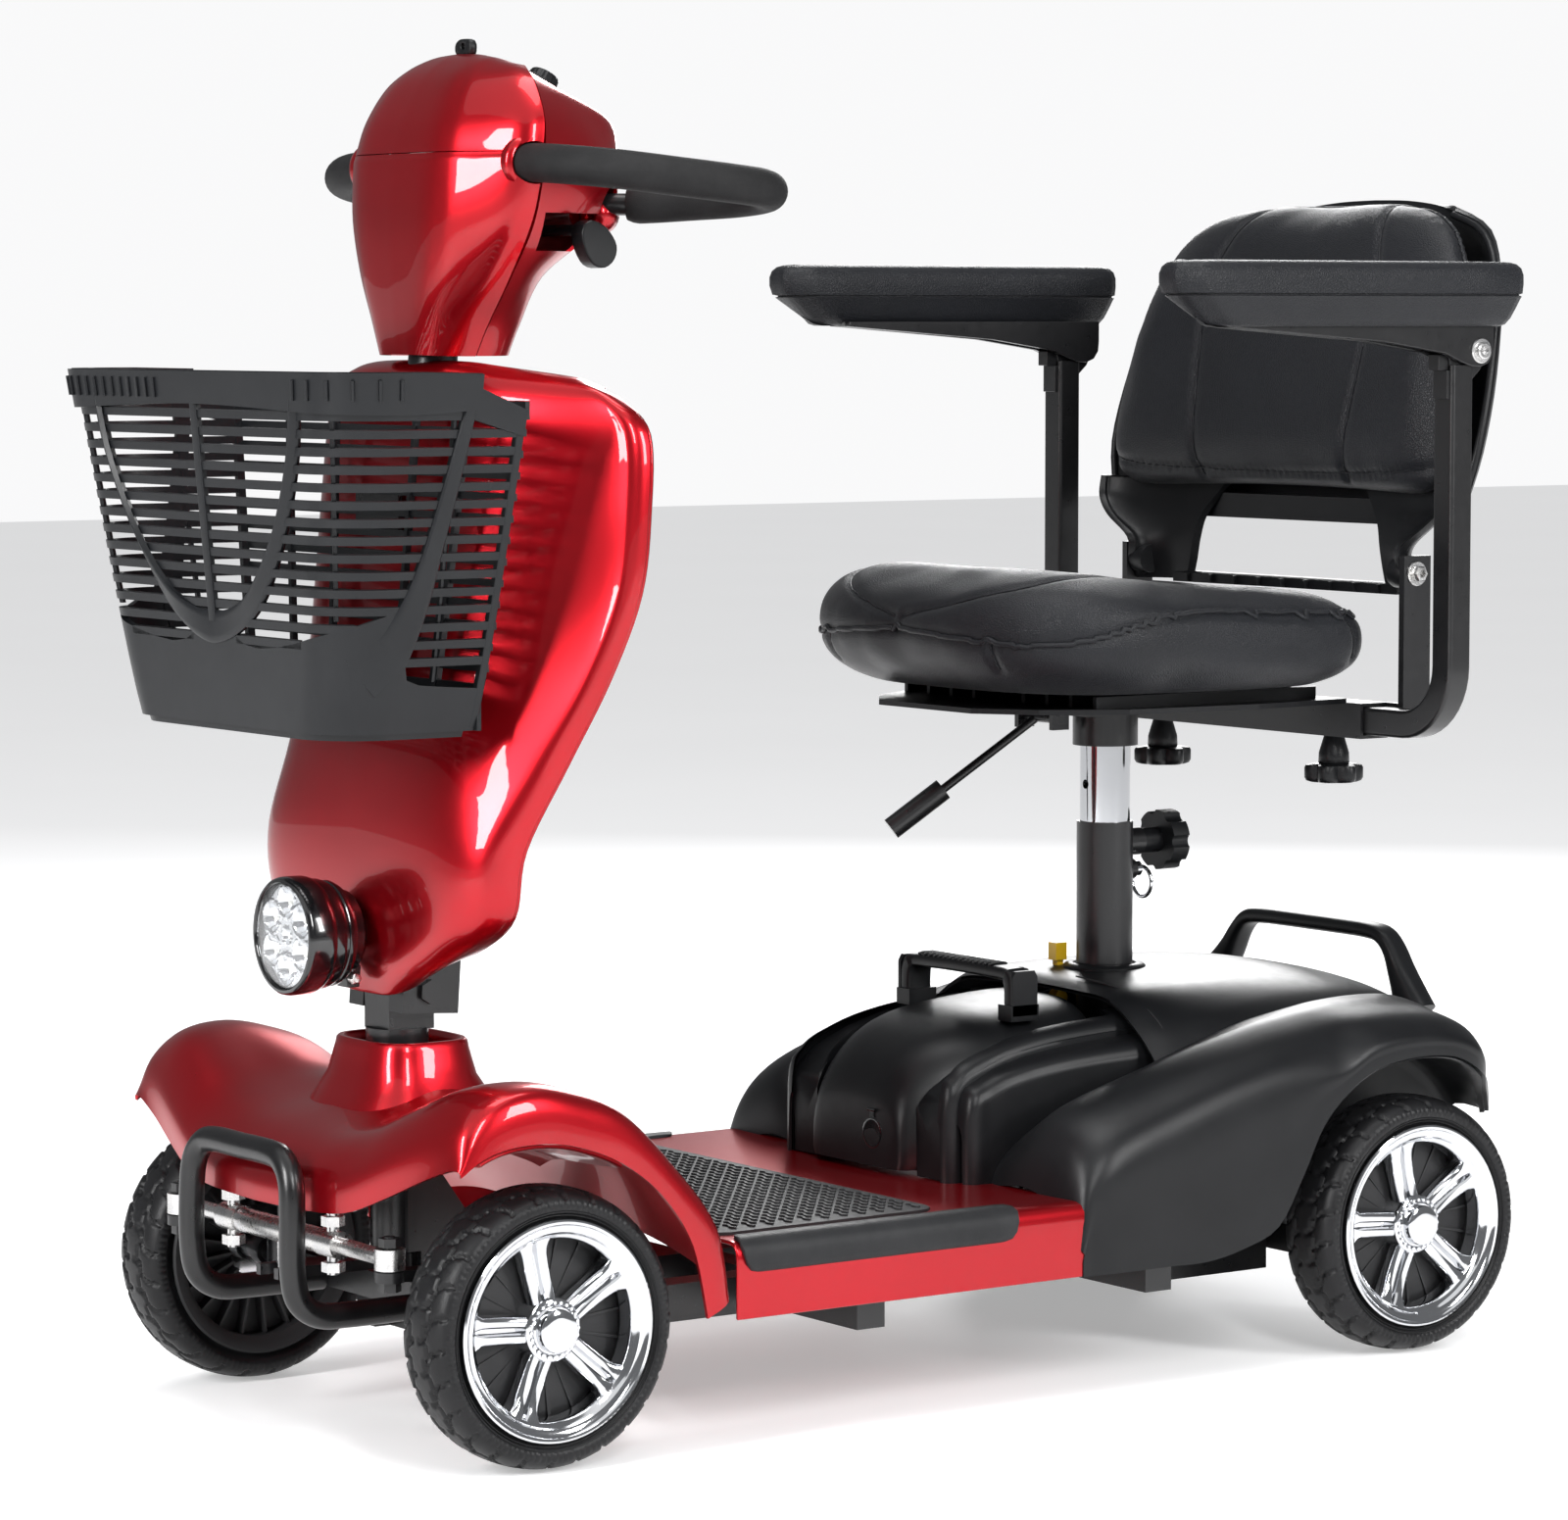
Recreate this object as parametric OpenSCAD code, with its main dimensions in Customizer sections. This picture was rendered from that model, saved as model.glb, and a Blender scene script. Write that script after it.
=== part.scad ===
// Four-wheel travel mobility scooter, in millimetres, +Z up.
// Origin: on the ground under the middle of the scooter. +X is the rider's left, -Y is the front.

/* [Wheels] */
// Outer radius of the tyres
tyre_r = 100; // [97:0.5:101]
// Width of the tyres
tyre_w = 58; // [54:1:59]
// Half distance between the front tyre centres
front_half_track = 206; // [205:0.5:208]
// Half distance between the rear tyre centres
rear_half_track = 214; // [213:0.5:218]
// Front axle position along the scooter
front_axle_y = -400; // [-401:0.5:-399]
// Rear axle position along the scooter
rear_axle_y = 393; // [390:1:398]

/* [Steering] */
// Radius of the steering shaft
shaft_r = 16; // [15:0.5:16]
// Running clearance of shafts in their bores
run_clear = 0.05; // [0.02:0.01:0.1]
// Backward lean of the tiller in degrees
tiller_lean = 3.7; // [3:0.1:4.5]

/* [Deck] */
// Half width of the body
body_half = 235; // [234:0.5:236]
// Height of the deck surface
deck_z = 148; // [146:1:149]
// Height of the lower edge of the body
skirt_z = 92; // [90:1:94]

/* [Seat] */
// Outer radius of the chrome seat post
post_r = 19.95; // [19:0.05:19.95]
// Height of the seat swivel plate
plate_z = 496; // [495:1:497]
// Position of the seat post along the scooter
post_y = 267; // [266:1:268]
// Half distance between the armrest tubes
arm_x = 245; // [244:1:247]

/* [Hidden] */

kingpin_x = 150;
steer_y = -390;
tie_y = -487;
tie_z = 148;
tilt_z = 318;
tilt_y = -386;
eps = 0.01;

// ---------- curve and surface helpers ----------
function unit(v) = v / max(norm(v), 1e-9);
function cr(a, b, c, d, t) = 0.5 * (2 * b + (c - a) * t + (2 * a - 5 * b + 4 * c - d) * t * t + (3 * b - a - 3 * c + d) * t * t * t);
function crpath(P, n) = [for (i = [0:len(P) - 2]) for (k = [0:n - 1]) cr(P[max(i - 1, 0)], P[i], P[i + 1], P[min(i + 2, len(P) - 1)], k / n), P[len(P) - 1]];
function crloop(P, n) = [for (i = [0:len(P) - 1]) for (k = [0:n - 1]) cr(P[(i + len(P) - 1) % len(P)], P[i], P[(i + 1) % len(P)], P[(i + 2) % len(P)], k / n)];
function flat(L) = [for (a = L) for (b = a) b];
function mir(p) = [-p[0], p[1], p[2]];
// a row from the middle outwards becomes a full row from -X to +X
function full(row) = concat([for (i = [len(row) - 1:-1:1]) mir(row[i])], row);
function gnorm(G, i, j) = let (a = G[min(i + 1, len(G) - 1)][j] - G[max(i - 1, 0)][j],
    b = G[i][min(j + 1, len(G[0]) - 1)] - G[i][max(j - 1, 0)]) unit(cross(a, b));

// thin shell: a grid of outer points and the same grid moved inwards by th
module skin(G, th, flip = false) {
    ni = len(G); nj = len(G[0]); m = ni * nj;
    I = [for (i = [0:ni - 1]) [for (j = [0:nj - 1]) G[i][j] - th * gnorm(G, i, j)]];
    function q(a, b, c, d) = flip ? [[a, c, b], [a, d, c]] : [[a, b, c], [a, c, d]];
    F = flat(concat(
        [for (i = [0:ni - 2]) for (j = [0:nj - 2]) q(i * nj + j, i * nj + j + 1, (i + 1) * nj + j + 1, (i + 1) * nj + j)],
        [for (i = [0:ni - 2]) for (j = [0:nj - 2]) q(m + i * nj + j, m + (i + 1) * nj + j, m + (i + 1) * nj + j + 1, m + i * nj + j + 1)],
        [for (j = [0:nj - 2]) q(j, m + j, m + j + 1, j + 1)],
        [for (j = [0:nj - 2]) q((ni - 1) * nj + j, (ni - 1) * nj + j + 1, m + (ni - 1) * nj + j + 1, m + (ni - 1) * nj + j)],
        [for (i = [0:ni - 2]) q(i * nj, (i + 1) * nj, m + (i + 1) * nj, m + i * nj)],
        [for (i = [0:ni - 2]) q(i * nj + nj - 1, m + i * nj + nj - 1, m + (i + 1) * nj + nj - 1, (i + 1) * nj + nj - 1)]));
    polyhedron(concat(flat(G), flat(I)), F, convexity = 8);
}

// closed body through rings of equal length, with fans at both ends
module loft(R, flip = false) {
    ni = len(R); nj = len(R[0]);
    c0 = [for (k = [0:2]) [for (p = R[0]) 1] * [for (p = R[0]) p[k]] / nj];
    c1 = [for (k = [0:2]) [for (p = R[0]) 1] * [for (p = R[ni - 1]) p[k]] / nj];
    function t(a, b, c) = flip ? [a, c, b] : [a, b, c];
    F = concat(
        flat([for (i = [0:ni - 2]) for (j = [0:nj - 1]) let (a = i * nj + j, b = i * nj + (j + 1) % nj, c = b + nj, d = a + nj) [t(a, b, c), t(a, c, d)]]),
        [for (j = [0:nj - 1]) t(ni * nj, (j + 1) % nj, j)],
        [for (j = [0:nj - 1]) t(ni * nj + 1, (ni - 1) * nj + j, (ni - 1) * nj + (j + 1) % nj)]);
    polyhedron(concat(flat(R), [c0, c1]), F, convexity = 8);
}

function tang(P, i) = unit(P[min(i + 1, len(P) - 1)] - P[max(i - 1, 0)]);
function rings(P, r, n, ref) = [for (i = [0:len(P) - 1]) let (t = tang(P, i), s = unit(cross(t, ref)), u = cross(s, t))
    [for (k = [0:n - 1]) P[i] + r * (cos(360 * k / n) * s + sin(360 * k / n) * u)]];

// round bar or tube along a path
module bar(P, r, n = 12, ref = [0, 0, 1]) { loft(rings(P, r, n, ref), false); }
module pipe(P, r, ri, n = 12, ref = [0, 0, 1]) {
    A = rings(P, r, n, ref); B = rings(P, ri, n, ref);
    ni = len(A); m = ni * n;
    F = flat(concat(
        [for (i = [0:ni - 2]) for (j = [0:n - 1]) let (a = i * n + j, b = i * n + (j + 1) % n, c = b + n, d = a + n) [[a, c, b], [a, d, c]]],
        [for (i = [0:ni - 2]) for (j = [0:n - 1]) let (a = m + i * n + j, b = m + i * n + (j + 1) % n, c = b + n, d = a + n) [[a, b, c], [a, c, d]]],
        [for (j = [0:n - 1]) let (a = j, b = (j + 1) % n) [[a, b, m + b], [a, m + b, m + a]]],
        [for (j = [0:n - 1]) let (a = (ni - 1) * n + j, b = (ni - 1) * n + (j + 1) % n) [[b, a, m + a], [b, m + a, m + b]]]));
    polyhedron(concat(flat(A), flat(B)), [for (f = F) [f[0], f[2], f[1]]], convexity = 8);
}

// straight round rod between two points
module rod(a, b, r, fn = 32) {
    d = b - a;
    translate(a) rotate([0, acos(d[2] / norm(d)), atan2(d[1], d[0])]) cylinder(r = r, h = norm(d), $fn = fn);
}
module xcyl(r, x0, x1, fn = 48) { translate([x0, 0, 0]) rotate([0, 90, 0]) cylinder(r = r, h = x1 - x0, $fn = fn); }
module ycyl(r, y0, y1, fn = 48) { translate([0, y1, 0]) rotate([90, 0, 0]) cylinder(r = r, h = y1 - y0, $fn = fn); }
module box(a, b) { translate(a) cube([b[0] - a[0], b[1] - a[1], b[2] - a[2]]); }
module both() { children(); mirror([1, 0, 0]) children(); }
// frame of the tiller: origin at the tilt pivot, +Z up the mast
module on_tiller() { translate([0, tilt_y, tilt_z]) rotate([-tiller_lean, 0, 0]) children(); }
// knob with flutes, on +Z, head from z to z+h
module fluted_knob(r, z, h) {
    difference() {
        translate([0, 0, z]) cylinder(r = r, h = h, $fn = 48);
        for (k = [0:6]) rotate([0, 0, k * 360 / 7]) translate([r + 3, 0, z - 1]) cylinder(r = 6, h = h + 2, $fn = 24);
    }
}

// ---------- chassis ----------
module chassis_frame() color([0.05, 0.05, 0.05]) {
    difference() {
        union() {
            both() box([42, -385, 60], [68, 400, 88]);
            box([-68, -372, 60], [68, -352, 88]);
            box([-110, 215, 53], [110, 345, 88]);
            box([-42, -100, 62], [42, -75, 86]);
            both() box([67, -120, 66], [200, -95, 86]);
            both() box([67, 150, 66], [200, 175, 86]);
            // steering head tube and its side gussets
            translate([0, steer_y, 126]) cylinder(r = 20.5, h = 80, $fn = 64);
            both() translate([18, 0, 0]) rotate([90, 0, 90]) linear_extrude(6)
                polygon([[-396, 126], [-396, 200], [-380, 200], [-300, 88], [-385, 88], [-385, 126]]);
            both() box([18, -385, 88], [68, -345, 94]);
            // seat post base plate and axle blocks
            box([-70, 225, 88], [70, 309, 96]);
            both() box([120, 372, 84], [134, 414, 88.5]);
            both() box([68, 372, 62], [134, 414, 84]);
        }
        translate([0, steer_y, 120]) cylinder(r = shaft_r + run_clear, h = 100, $fn = 64);
    }
}
module front_axle_beam() color([0.05, 0.05, 0.05]) both() {
    box([-eps, -412, 90], [128, -388, 110]);
    difference() {
        union() {
            box([122, -412, 84], [166, -388, 92]);
            box([122, -412, 144.4], [166, -388, 152]);
            box([122, -412, 84], [132, -388, 152]);
        }
        translate([kingpin_x, front_axle_y, 80]) cylinder(r = 5.9, h = 80, $fn = 48);
    }
    translate([kingpin_x, front_axle_y, 79]) cylinder(r = 5.9, h = 78, $fn = 48);
    translate([kingpin_x, front_axle_y, 152]) cylinder(r = 10, h = 7, $fn = 6);
    translate([kingpin_x, front_axle_y, 77]) cylinder(r = 10, h = 7, $fn = 6);
}
bumper_path = crpath([[0, -519, 212], [40, -519, 212], [58, -519, 208], [70, -520, 194], [73, -521, 170], [73, -521, 132],
    [73, -516, 110], [73, -500, 98], [73, -475, 96], [73, -412.5, 96]], 4);
module bumper() color([0.03, 0.03, 0.03]) {
    P = concat([for (i = [len(bumper_path) - 1:-1:1]) mir(bumper_path[i])], bumper_path);
    bar(P, 9.5, 12, [0.3, -1, 0.25]);
}

// ---------- front cover ----------
fc_rows = [
    [[0, -510, 172], [60, -508, 173], [109, -501, 176], [150, -494, 190], [190, -487, 207], [220, -483, 218], [233, -481, 222], [235, -480, 215]],
    [[0, -506, 194], [60, -504, 196], [109, -498, 203], [150, -491, 220], [190, -482, 238], [220, -474, 246], [233, -468, 242], [235, -462, 226]],
    [[0, -480, 221], [60, -479, 223], [109, -475, 233], [150, -469, 250], [190, -460, 266], [220, -450, 268], [233, -446, 260], [235, -440, 231]],
    [[0, -430, 240], [60, -430, 238], [109, -428, 244], [150, -425, 258], [190, -422, 272], [220, -416, 273], [233, -412, 264], [235, -412, 232]],
    [[0, -388, 256], [55, -388, 250], [100, -388, 246], [145, -388, 256], [190, -386, 267], [220, -383, 267], [233, -380, 257], [235, -384, 228]],
    [[0, -350, 246], [50, -350, 240], [100, -350, 234], [145, -348, 240], [190, -346, 251], [220, -343, 251], [233, -340, 240], [235, -348, 214]],
    [[0, -308, 204], [50, -308, 203], [100, -308, 202], [145, -307, 205], [190, -305, 213], [220, -302, 213], [233, -300, 202], [235, -314, 188]],
    [[0, -278, 168], [50, -278, 168], [100, -277, 168], [150, -274, 168], [190, -270, 170], [220, -267, 168], [233, -266, 158], [235, -288, 150]],
    [[0, -262, 149], [50, -262, 149], [100, -261, 148], [150, -258, 140], [190, -256, 130], [220, -255, 118], [233, -256, 108], [235, -276, 96]]];
module front_cover() color([0.55, 0.02, 0.05]) {
    G = crpath([for (r = fc_rows) full(crpath(r, 2))], 2);
    difference() {
        skin(G, -3, true);
        translate([0, steer_y, 200]) cylinder(r = 29, h = 100, $fn = 48);
    }
    // raised collar round the column
    translate([0, steer_y + 4, 236]) difference() {
        linear_extrude(46, scale = 0.77) polygon([for (a = [0:15:345]) [60 * pow(abs(cos(a)), 0.6) * sign(cos(a)), 50 * pow(abs(sin(a)), 0.6) * sign(sin(a))]]);
        translate([0, -4, -1]) cylinder(r = 29, h = 60, $fn = 48);
        translate([0, 0, -1]) linear_extrude(44, scale = 0.79) polygon([for (a = [0:15:345]) [56 * pow(abs(cos(a)), 0.6) * sign(cos(a)), 46 * pow(abs(sin(a)), 0.6) * sign(sin(a))]]);
    }
}

// ---------- deck ----------
module deck_shell() color([0.55, 0.02, 0.05]) difference() {
    union() {
        box([-body_half, -250, skirt_z], [body_half, 45.6, deck_z - 8]);
        box([-body_half + 8, -250, deck_z - 9], [body_half - 8, 45.6, deck_z]);
    }
    box([-body_half + 3, -247, skirt_z - 1], [body_half - 3, 42, deck_z - 11]);
    box([-body_half + 11, -247, deck_z - 12], [body_half - 11, 42, deck_z - 3]);
}
module deck_mat() color([0.06, 0.06, 0.06]) {
    translate([0, 0, deck_z]) linear_extrude(3)
        polygon([[-190, -246], [190, -246], [204, -240], [204, -62], [190, -48], [-190, -48], [-204, -62], [-204, -240]]);
}
module deck_strips() color([0.06, 0.06, 0.06]) both() {
    // wraps the upper edge of the deck shell
    translate([0, 2, 0]) rotate([90, 0, 0]) linear_extrude(248)
        polygon([[212, 148], [227, 148], [227, 140], [235, 140], [235, 125], [237.6, 127], [238, 141], [235, 147], [228, 151], [212, 151]]);
}

// ---------- rear cover ----------
// one row across at a station y: half width w, lower edge z, shoulder z, crown height, squareness n
function rc_row(y, w, zl, zs, h, n) = [for (k = [0:10]) let (a = 90 - 9 * k) k == 10 ? [w, y, zl + 0 * zs]
    : [w * pow(max(sin(9 * k * 1.0), 0), 2 / n), y, zs + h * pow(cos(9 * k), 2 / n)]];
rc_st = [[46, 232, 92, 128, 26, 2.6], [62, 234, 92, 132, 74, 2.6], [90, 235, 92, 136, 104, 2.5], [140, 235, 92, 142, 122, 2.5],
    [200, 235, 92, 146, 136, 2.5], [262, 235, 118, 150, 138, 2.5], [285, 235, 172, 182, 106, 2.5], [310, 235, 204, 208, 80, 2.5],
    [340, 235, 224, 226, 61, 2.5], [375, 235, 232, 233, 53, 2.5], [410, 234, 233, 234, 48, 2.5], [445, 230, 226, 228, 46, 2.5],
    [470, 222, 205, 208, 55, 2.5], [486, 208, 190, 192, 50, 2.5], [492, 190, 176, 178, 30, 2.5]];
module rear_cover() color([0.05, 0.05, 0.055]) difference() {
    skin([for (s = rc_st) full(rc_row(s[0], s[1], s[2], s[3], s[4], s[5]))], -3, true);
    // battery bay, seat post hole and lever slot
    box([-98, 20, 80], [98, 196, 320]);
    translate([0, post_y, 200]) cylinder(r = 27, h = 120, $fn = 48);
    box([-40, 226, 200], [-26, 262, 320]);
}
module rear_grab_handle() color([0.05, 0.05, 0.055]) difference() {
    translate([0, 478, 0]) rotate([90, 0, 0]) translate([0, 0, -22]) linear_extrude(22) difference() {
        polygon([[-132, 262], [-118, 272], [-104, 290], [-92, 310], [-80, 317], [80, 317], [92, 310], [104, 290], [118, 272], [132, 262], [128, 234], [-128, 234]]);
        polygon([[-86, 268], [-76, 290], [-66, 299], [66, 299], [76, 290], [86, 268]]);
    }
    loft([for (s = rc_st) full(rc_row(s[0], s[1], s[2], s[3], s[4], s[5]))], true);
}
module transaxle() color([0.3, 0.3, 0.32]) {
    translate([0, rear_axle_y, 100]) {
        xcyl(11.5, -181, 181);
        both() xcyl(8, 180, 236);
        xcyl(42, -30, 30);
        xcyl(24, -40, 40);
    }
    translate([0, rear_axle_y - 4, 138]) xcyl(36, 20, 150);
    box([10, 372, 110], [40, 404, 150]);
}
module controller() color([0.5, 0.5, 0.52]) {
    box([-90, 310, 120], [-20, 346, 210]);
    for (k = [0:5]) box([-88 + 12 * k, 304, 124], [-84 + 12 * k, 310.5, 206]);
}
module seat_post_tube() color([0.03, 0.03, 0.03]) difference() {
    union() {
        translate([0, post_y, 96]) cylinder(r = 22.5, h = 309, $fn = 64);
        translate([0, post_y, 387]) ycyl(11, 0, 34);
        translate([0, post_y, 365]) ycyl(8, 0, 28);
    }
    translate([0, post_y, 100]) cylinder(r = 20, h = 320, $fn = 64);
    translate([0, post_y, 387]) ycyl(5.05, 0, 60);
    translate([0, post_y, 365]) ycyl(3.6, 0, 60);
}

// ---------- battery ----------
batt_profile = [[24, 152], [24, 196], [28, 214], [38, 232], [56, 248], [84, 261], [120, 269], [192, 274], [192, 152]];
module battery_block() intersection() {
    translate([-95, 0, 0]) rotate([90, 0, 90]) linear_extrude(190) polygon(batt_profile);
    translate([0, 0, 150]) linear_extrude(140) polygon([[-58, 22], [58, 22], [66, 40], [82, 66], [94, 90], [94, 194], [-94, 194], [-94, 90], [-82, 66], [-66, 40]]);
}
module battery_case() color([0.05, 0.05, 0.055]) difference() {
    battery_block();
    box([-56, 34, 155], [56, 189, 205]);
    box([-88, 96, 155], [88, 189, 240]);
    translate([24, 0, 178]) ycyl(9, 20, 40);
}
module battery_cells() color([0.15, 0.15, 0.17]) {
    both() box([4, 100, 157], [84, 187, 236]);
}
module battery_handle() color([0.05, 0.05, 0.055]) difference() {
    union() {
        translate([0, 141, 0]) rotate([90, 0, 0]) linear_extrude(22) difference() {
            polygon([[-75, 264], [-74, 296], [-67, 303], [67, 303], [74, 296], [75, 264]]);
            polygon([[-60, 260], [-58, 286], [-53, 290], [53, 290], [58, 286], [60, 260]]);
        }
        both() box([58, 117, 262], [75, 143, 274.5]);
    }
    battery_block();
}
module charge_cap() color([0.04, 0.04, 0.04]) {
    translate([24, 0, 178]) ycyl(13, 20.4, 23.6);
    box([21, 20.4, 190], [27, 23.6, 196]);
    translate([0, 20.4, 196]) xcyl(1.2, 19, 29, 24);
}

// ---------- steering ----------
module knuckle_left() color([0.08, 0.08, 0.08]) {
    difference() {
        union() {
            translate([kingpin_x, front_axle_y, 92.4]) cylinder(r = 13, h = 51.6, $fn = 48);
            translate([0, front_axle_y, 100]) xcyl(7.5, 155, 183.7);
            box([kingpin_x - 8, tie_y, 132], [kingpin_x + 8, front_axle_y, 139.5]);
            translate([kingpin_x, tie_y, 132]) cylinder(r = 11, h = 7.5, $fn = 32);
        }
        translate([kingpin_x, front_axle_y, 80]) cylinder(r = 5.9 + run_clear, h = 80, $fn = 48);
    }
    translate([0, front_axle_y, 100]) { xcyl(11, 172, 183.7); xcyl(8, 183, 228); }
    translate([kingpin_x, tie_y, 125]) cylinder(r = 4, h = 39, $fn = 32);
    translate([kingpin_x, tie_y, 125]) cylinder(r = 8, h = 6.5, $fn = 6);
    translate([kingpin_x, tie_y, 156.5]) cylinder(r = 8, h = 6.5, $fn = 6);
}
module knuckle_right() { mirror([1, 0, 0]) knuckle_left(); }
module tie_rod() color([0.75, 0.75, 0.75]) {
    difference() {
        union() {
            translate([0, tie_y, tie_z]) { xcyl(6, -142, 142); xcyl(9, -58, 58); both() xcyl(10, 58, 84, 48); }
            both() translate([kingpin_x, tie_y, 140.5]) cylinder(r = 11, h = 15, $fn = 48);
        }
        both() translate([kingpin_x, tie_y, 130]) cylinder(r = 4.5, h = 40, $fn = 48);
    }
    both() translate([72, tie_y, 126]) cylinder(r = 4.5, h = 44, $fn = 32);
    both() translate([72, tie_y, 128]) cylinder(r = 8.5, h = 7, $fn = 6);
    both() translate([72, tie_y, 161]) cylinder(r = 8.5, h = 7, $fn = 6);
    translate([0, tie_y, 112]) cylinder(r = 4, h = 30, $fn = 32);
}

// ---------- wheels, modelled for the left side about the wheel centre ----------
module tyre() color([0.05, 0.05, 0.05]) rotate([0, 90, 0]) rotate_extrude($fn = 96)
    polygon([[74.1, -23], [80, -23.4], [84, -27.5], [88, -tyre_w / 2], [92, -28], [96, -24.5], [98.6, -18], [tyre_r, -8], [tyre_r, 8],
        [98.6, 18], [96, 24.5], [92, 28], [88, tyre_w / 2], [84, 27.5], [80, 23.4], [74.1, 23]]);
module rim() color([0.8, 0.8, 0.82]) {
    difference() {
        rotate([0, 90, 0]) rotate_extrude($fn = 96)
            polygon([[70, -26], [79, -28], [79, -24.5], [74, -23.6], [74, 23.6], [79, 24.5], [79, 28], [77, 29], [70, 26], [64, 20], [64, 14], [70, 12]]);
    }
    difference() {
        union() {
            xcyl(22, -20, 21, 64);
            for (k = [0:4]) rotate([104 + 72 * k, 0, 0]) box([7, -9, 16], [19, 9, 67]);
        }
        xcyl(8 + run_clear, -30, 22.2, 64);
        for (k = [0:4]) rotate([104 + 72 * k, 0, 0]) box([14, -1.5, 24], [30, 1.5, 62]);
    }
    difference() { xcyl(15, 21, 29, 48); xcyl(8 + run_clear, 20, 25, 48); }
}
module front_tyre_left() translate([front_half_track, front_axle_y, 100]) tyre();
module front_rim_left() translate([front_half_track, front_axle_y, 100]) rim();
module front_tyre_right() mirror([1, 0, 0]) translate([front_half_track, front_axle_y, 100]) tyre();
module front_rim_right() mirror([1, 0, 0]) translate([front_half_track, front_axle_y, 100]) rim();
module rear_tyre_left() translate([rear_half_track, rear_axle_y, 100]) tyre();
module rear_rim_left() translate([rear_half_track, rear_axle_y, 100]) rim();
module rear_tyre_right() mirror([1, 0, 0]) translate([rear_half_track, rear_axle_y, 100]) tyre();
module rear_rim_right() mirror([1, 0, 0]) translate([rear_half_track, rear_axle_y, 100]) rim();

// ---------- tiller ----------
module steering_column() color([0.04, 0.04, 0.04]) {
    translate([0, steer_y, 112]) cylinder(r = shaft_r, h = 100, $fn = 64);
    difference() {
        union() {
            translate([0, steer_y, 114]) cylinder(r = 17.4, h = 10, $fn = 48);
            box([-16, -500, 115], [16, steer_y, 123]);
        }
        box([-9.8, -520, 110], [9.8, -476, 130]);
    }
    translate([0, steer_y, 206.6]) cylinder(r = 23, h = 82.4, $fn = 64);
    difference() {
        union() {
            box([-17.5, steer_y - 17, 288], [17.5, steer_y + 21, tilt_z]);
            translate([0, tilt_y, tilt_z]) xcyl(18, -17.5, 17.5, 64);
        }
        translate([0, tilt_y, tilt_z]) xcyl(6 + run_clear, -30, 30, 48);
    }
}
module mast() color([0.04, 0.04, 0.04]) {
    on_tiller() {
        difference() {
            union() {
                both() box([18.2, -21, -16], [38, 26, 30]);
                box([-38, -21, 19.5], [38, 26, 30]);
            }
            xcyl(6, -50, 50, 48);
        }
        xcyl(5.98, -41, 41, 48);
        both() xcyl(9, 38, 42, 6);
        difference() {
            translate([0, 0, 29]) cylinder(r = 18, h = 540, $fn = 48);
            translate([0, 0, 40]) cylinder(r = 15, h = 520, $fn = 48);
        }
        box([-12, -8, 573.9], [12, 8, 586]);
        // plate in the head that carries the handlebar
        box([-34, -12, 568], [34, 24, 574]);
    }
    // hanger for the basket
    both() box([22, -404.5, 656], [30, -378, 672]);
    box([-30, -404.5, 650], [30, -401, 680]);
    box([-30, -388, 656], [30, -376, 672]);
}
tc_rows = [
    [[0, -412, 316], [26, -412, 317], [48, -408, 325], [62, -400, 336], [66, -391, 345]],
    [[0, -420, 345], [54, -419, 345], [88, -414, 348], [104, -404, 352], [110, -390, 356]],
    [[0, -424, 380], [72, -423, 380], [116, -419, 380], [142, -407, 380], [150, -388, 380]],
    [[0, -424, 430], [76, -423, 430], [122, -419, 430], [151, -405, 430], [159, -384, 430]],
    [[0, -418, 490], [72, -416, 490], [116, -408, 490], [163, -376, 490], [172, -357, 490]],
    [[0, -408, 550], [66, -406, 550], [110, -396, 550], [176, -346, 550], [187, -334, 550]],
    [[0, -400, 610], [66, -398, 610], [112, -388, 610], [186, -326, 610], [198, -314, 610]],
    [[0, -394, 670], [66, -392, 670], [112, -382, 670], [188, -320, 670], [201, -308, 670]],
    [[0, -388, 725], [66, -386, 725], [112, -376, 725], [184, -318, 725], [197, -306, 725]],
    [[0, -382, 758], [66, -380, 757], [108, -372, 754], [168, -326, 750], [178, -314, 748]],
    [[0, -372, 770], [60, -370, 769], [96, -362, 766], [146, -330, 762], [156, -318, 760]]];
module tiller_cover() color([0.55, 0.02, 0.05]) {
    difference() {
        skin(crpath([for (r = tc_rows) full(crpath(r, 2))], 1), -3, true);
        both() box([20, -430, 654], [32, -370, 674]);
        on_tiller() translate([0, 0, 420]) cylinder(r = 18.6, h = 80, $fn = 48);
    }
}
tb_rows = [
    [[0, -340, 344], [24, -342, 344], [40, -352, 344], [44, -372, 344]],
    [[0, -334, 420], [28, -336, 420], [46, -348, 420], [50, -372, 420]],
    [[0, -330, 520], [28, -332, 520], [46, -344, 520], [50, -366, 520]],
    [[0, -325, 640], [28, -327, 640], [46, -338, 640], [50, -360, 640]],
    [[0, -322, 740], [26, -324, 740], [42, -334, 740], [46, -354, 740]],
    [[0, -322, 764], [24, -324, 764], [38, -332, 764], [42, -348, 764]]];
module tiller_back_cover() color([0.05, 0.05, 0.05]) {
    skin(crpath([for (r = tb_rows) full(crpath(r, 2))], 2), 2.5, false);
}
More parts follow.
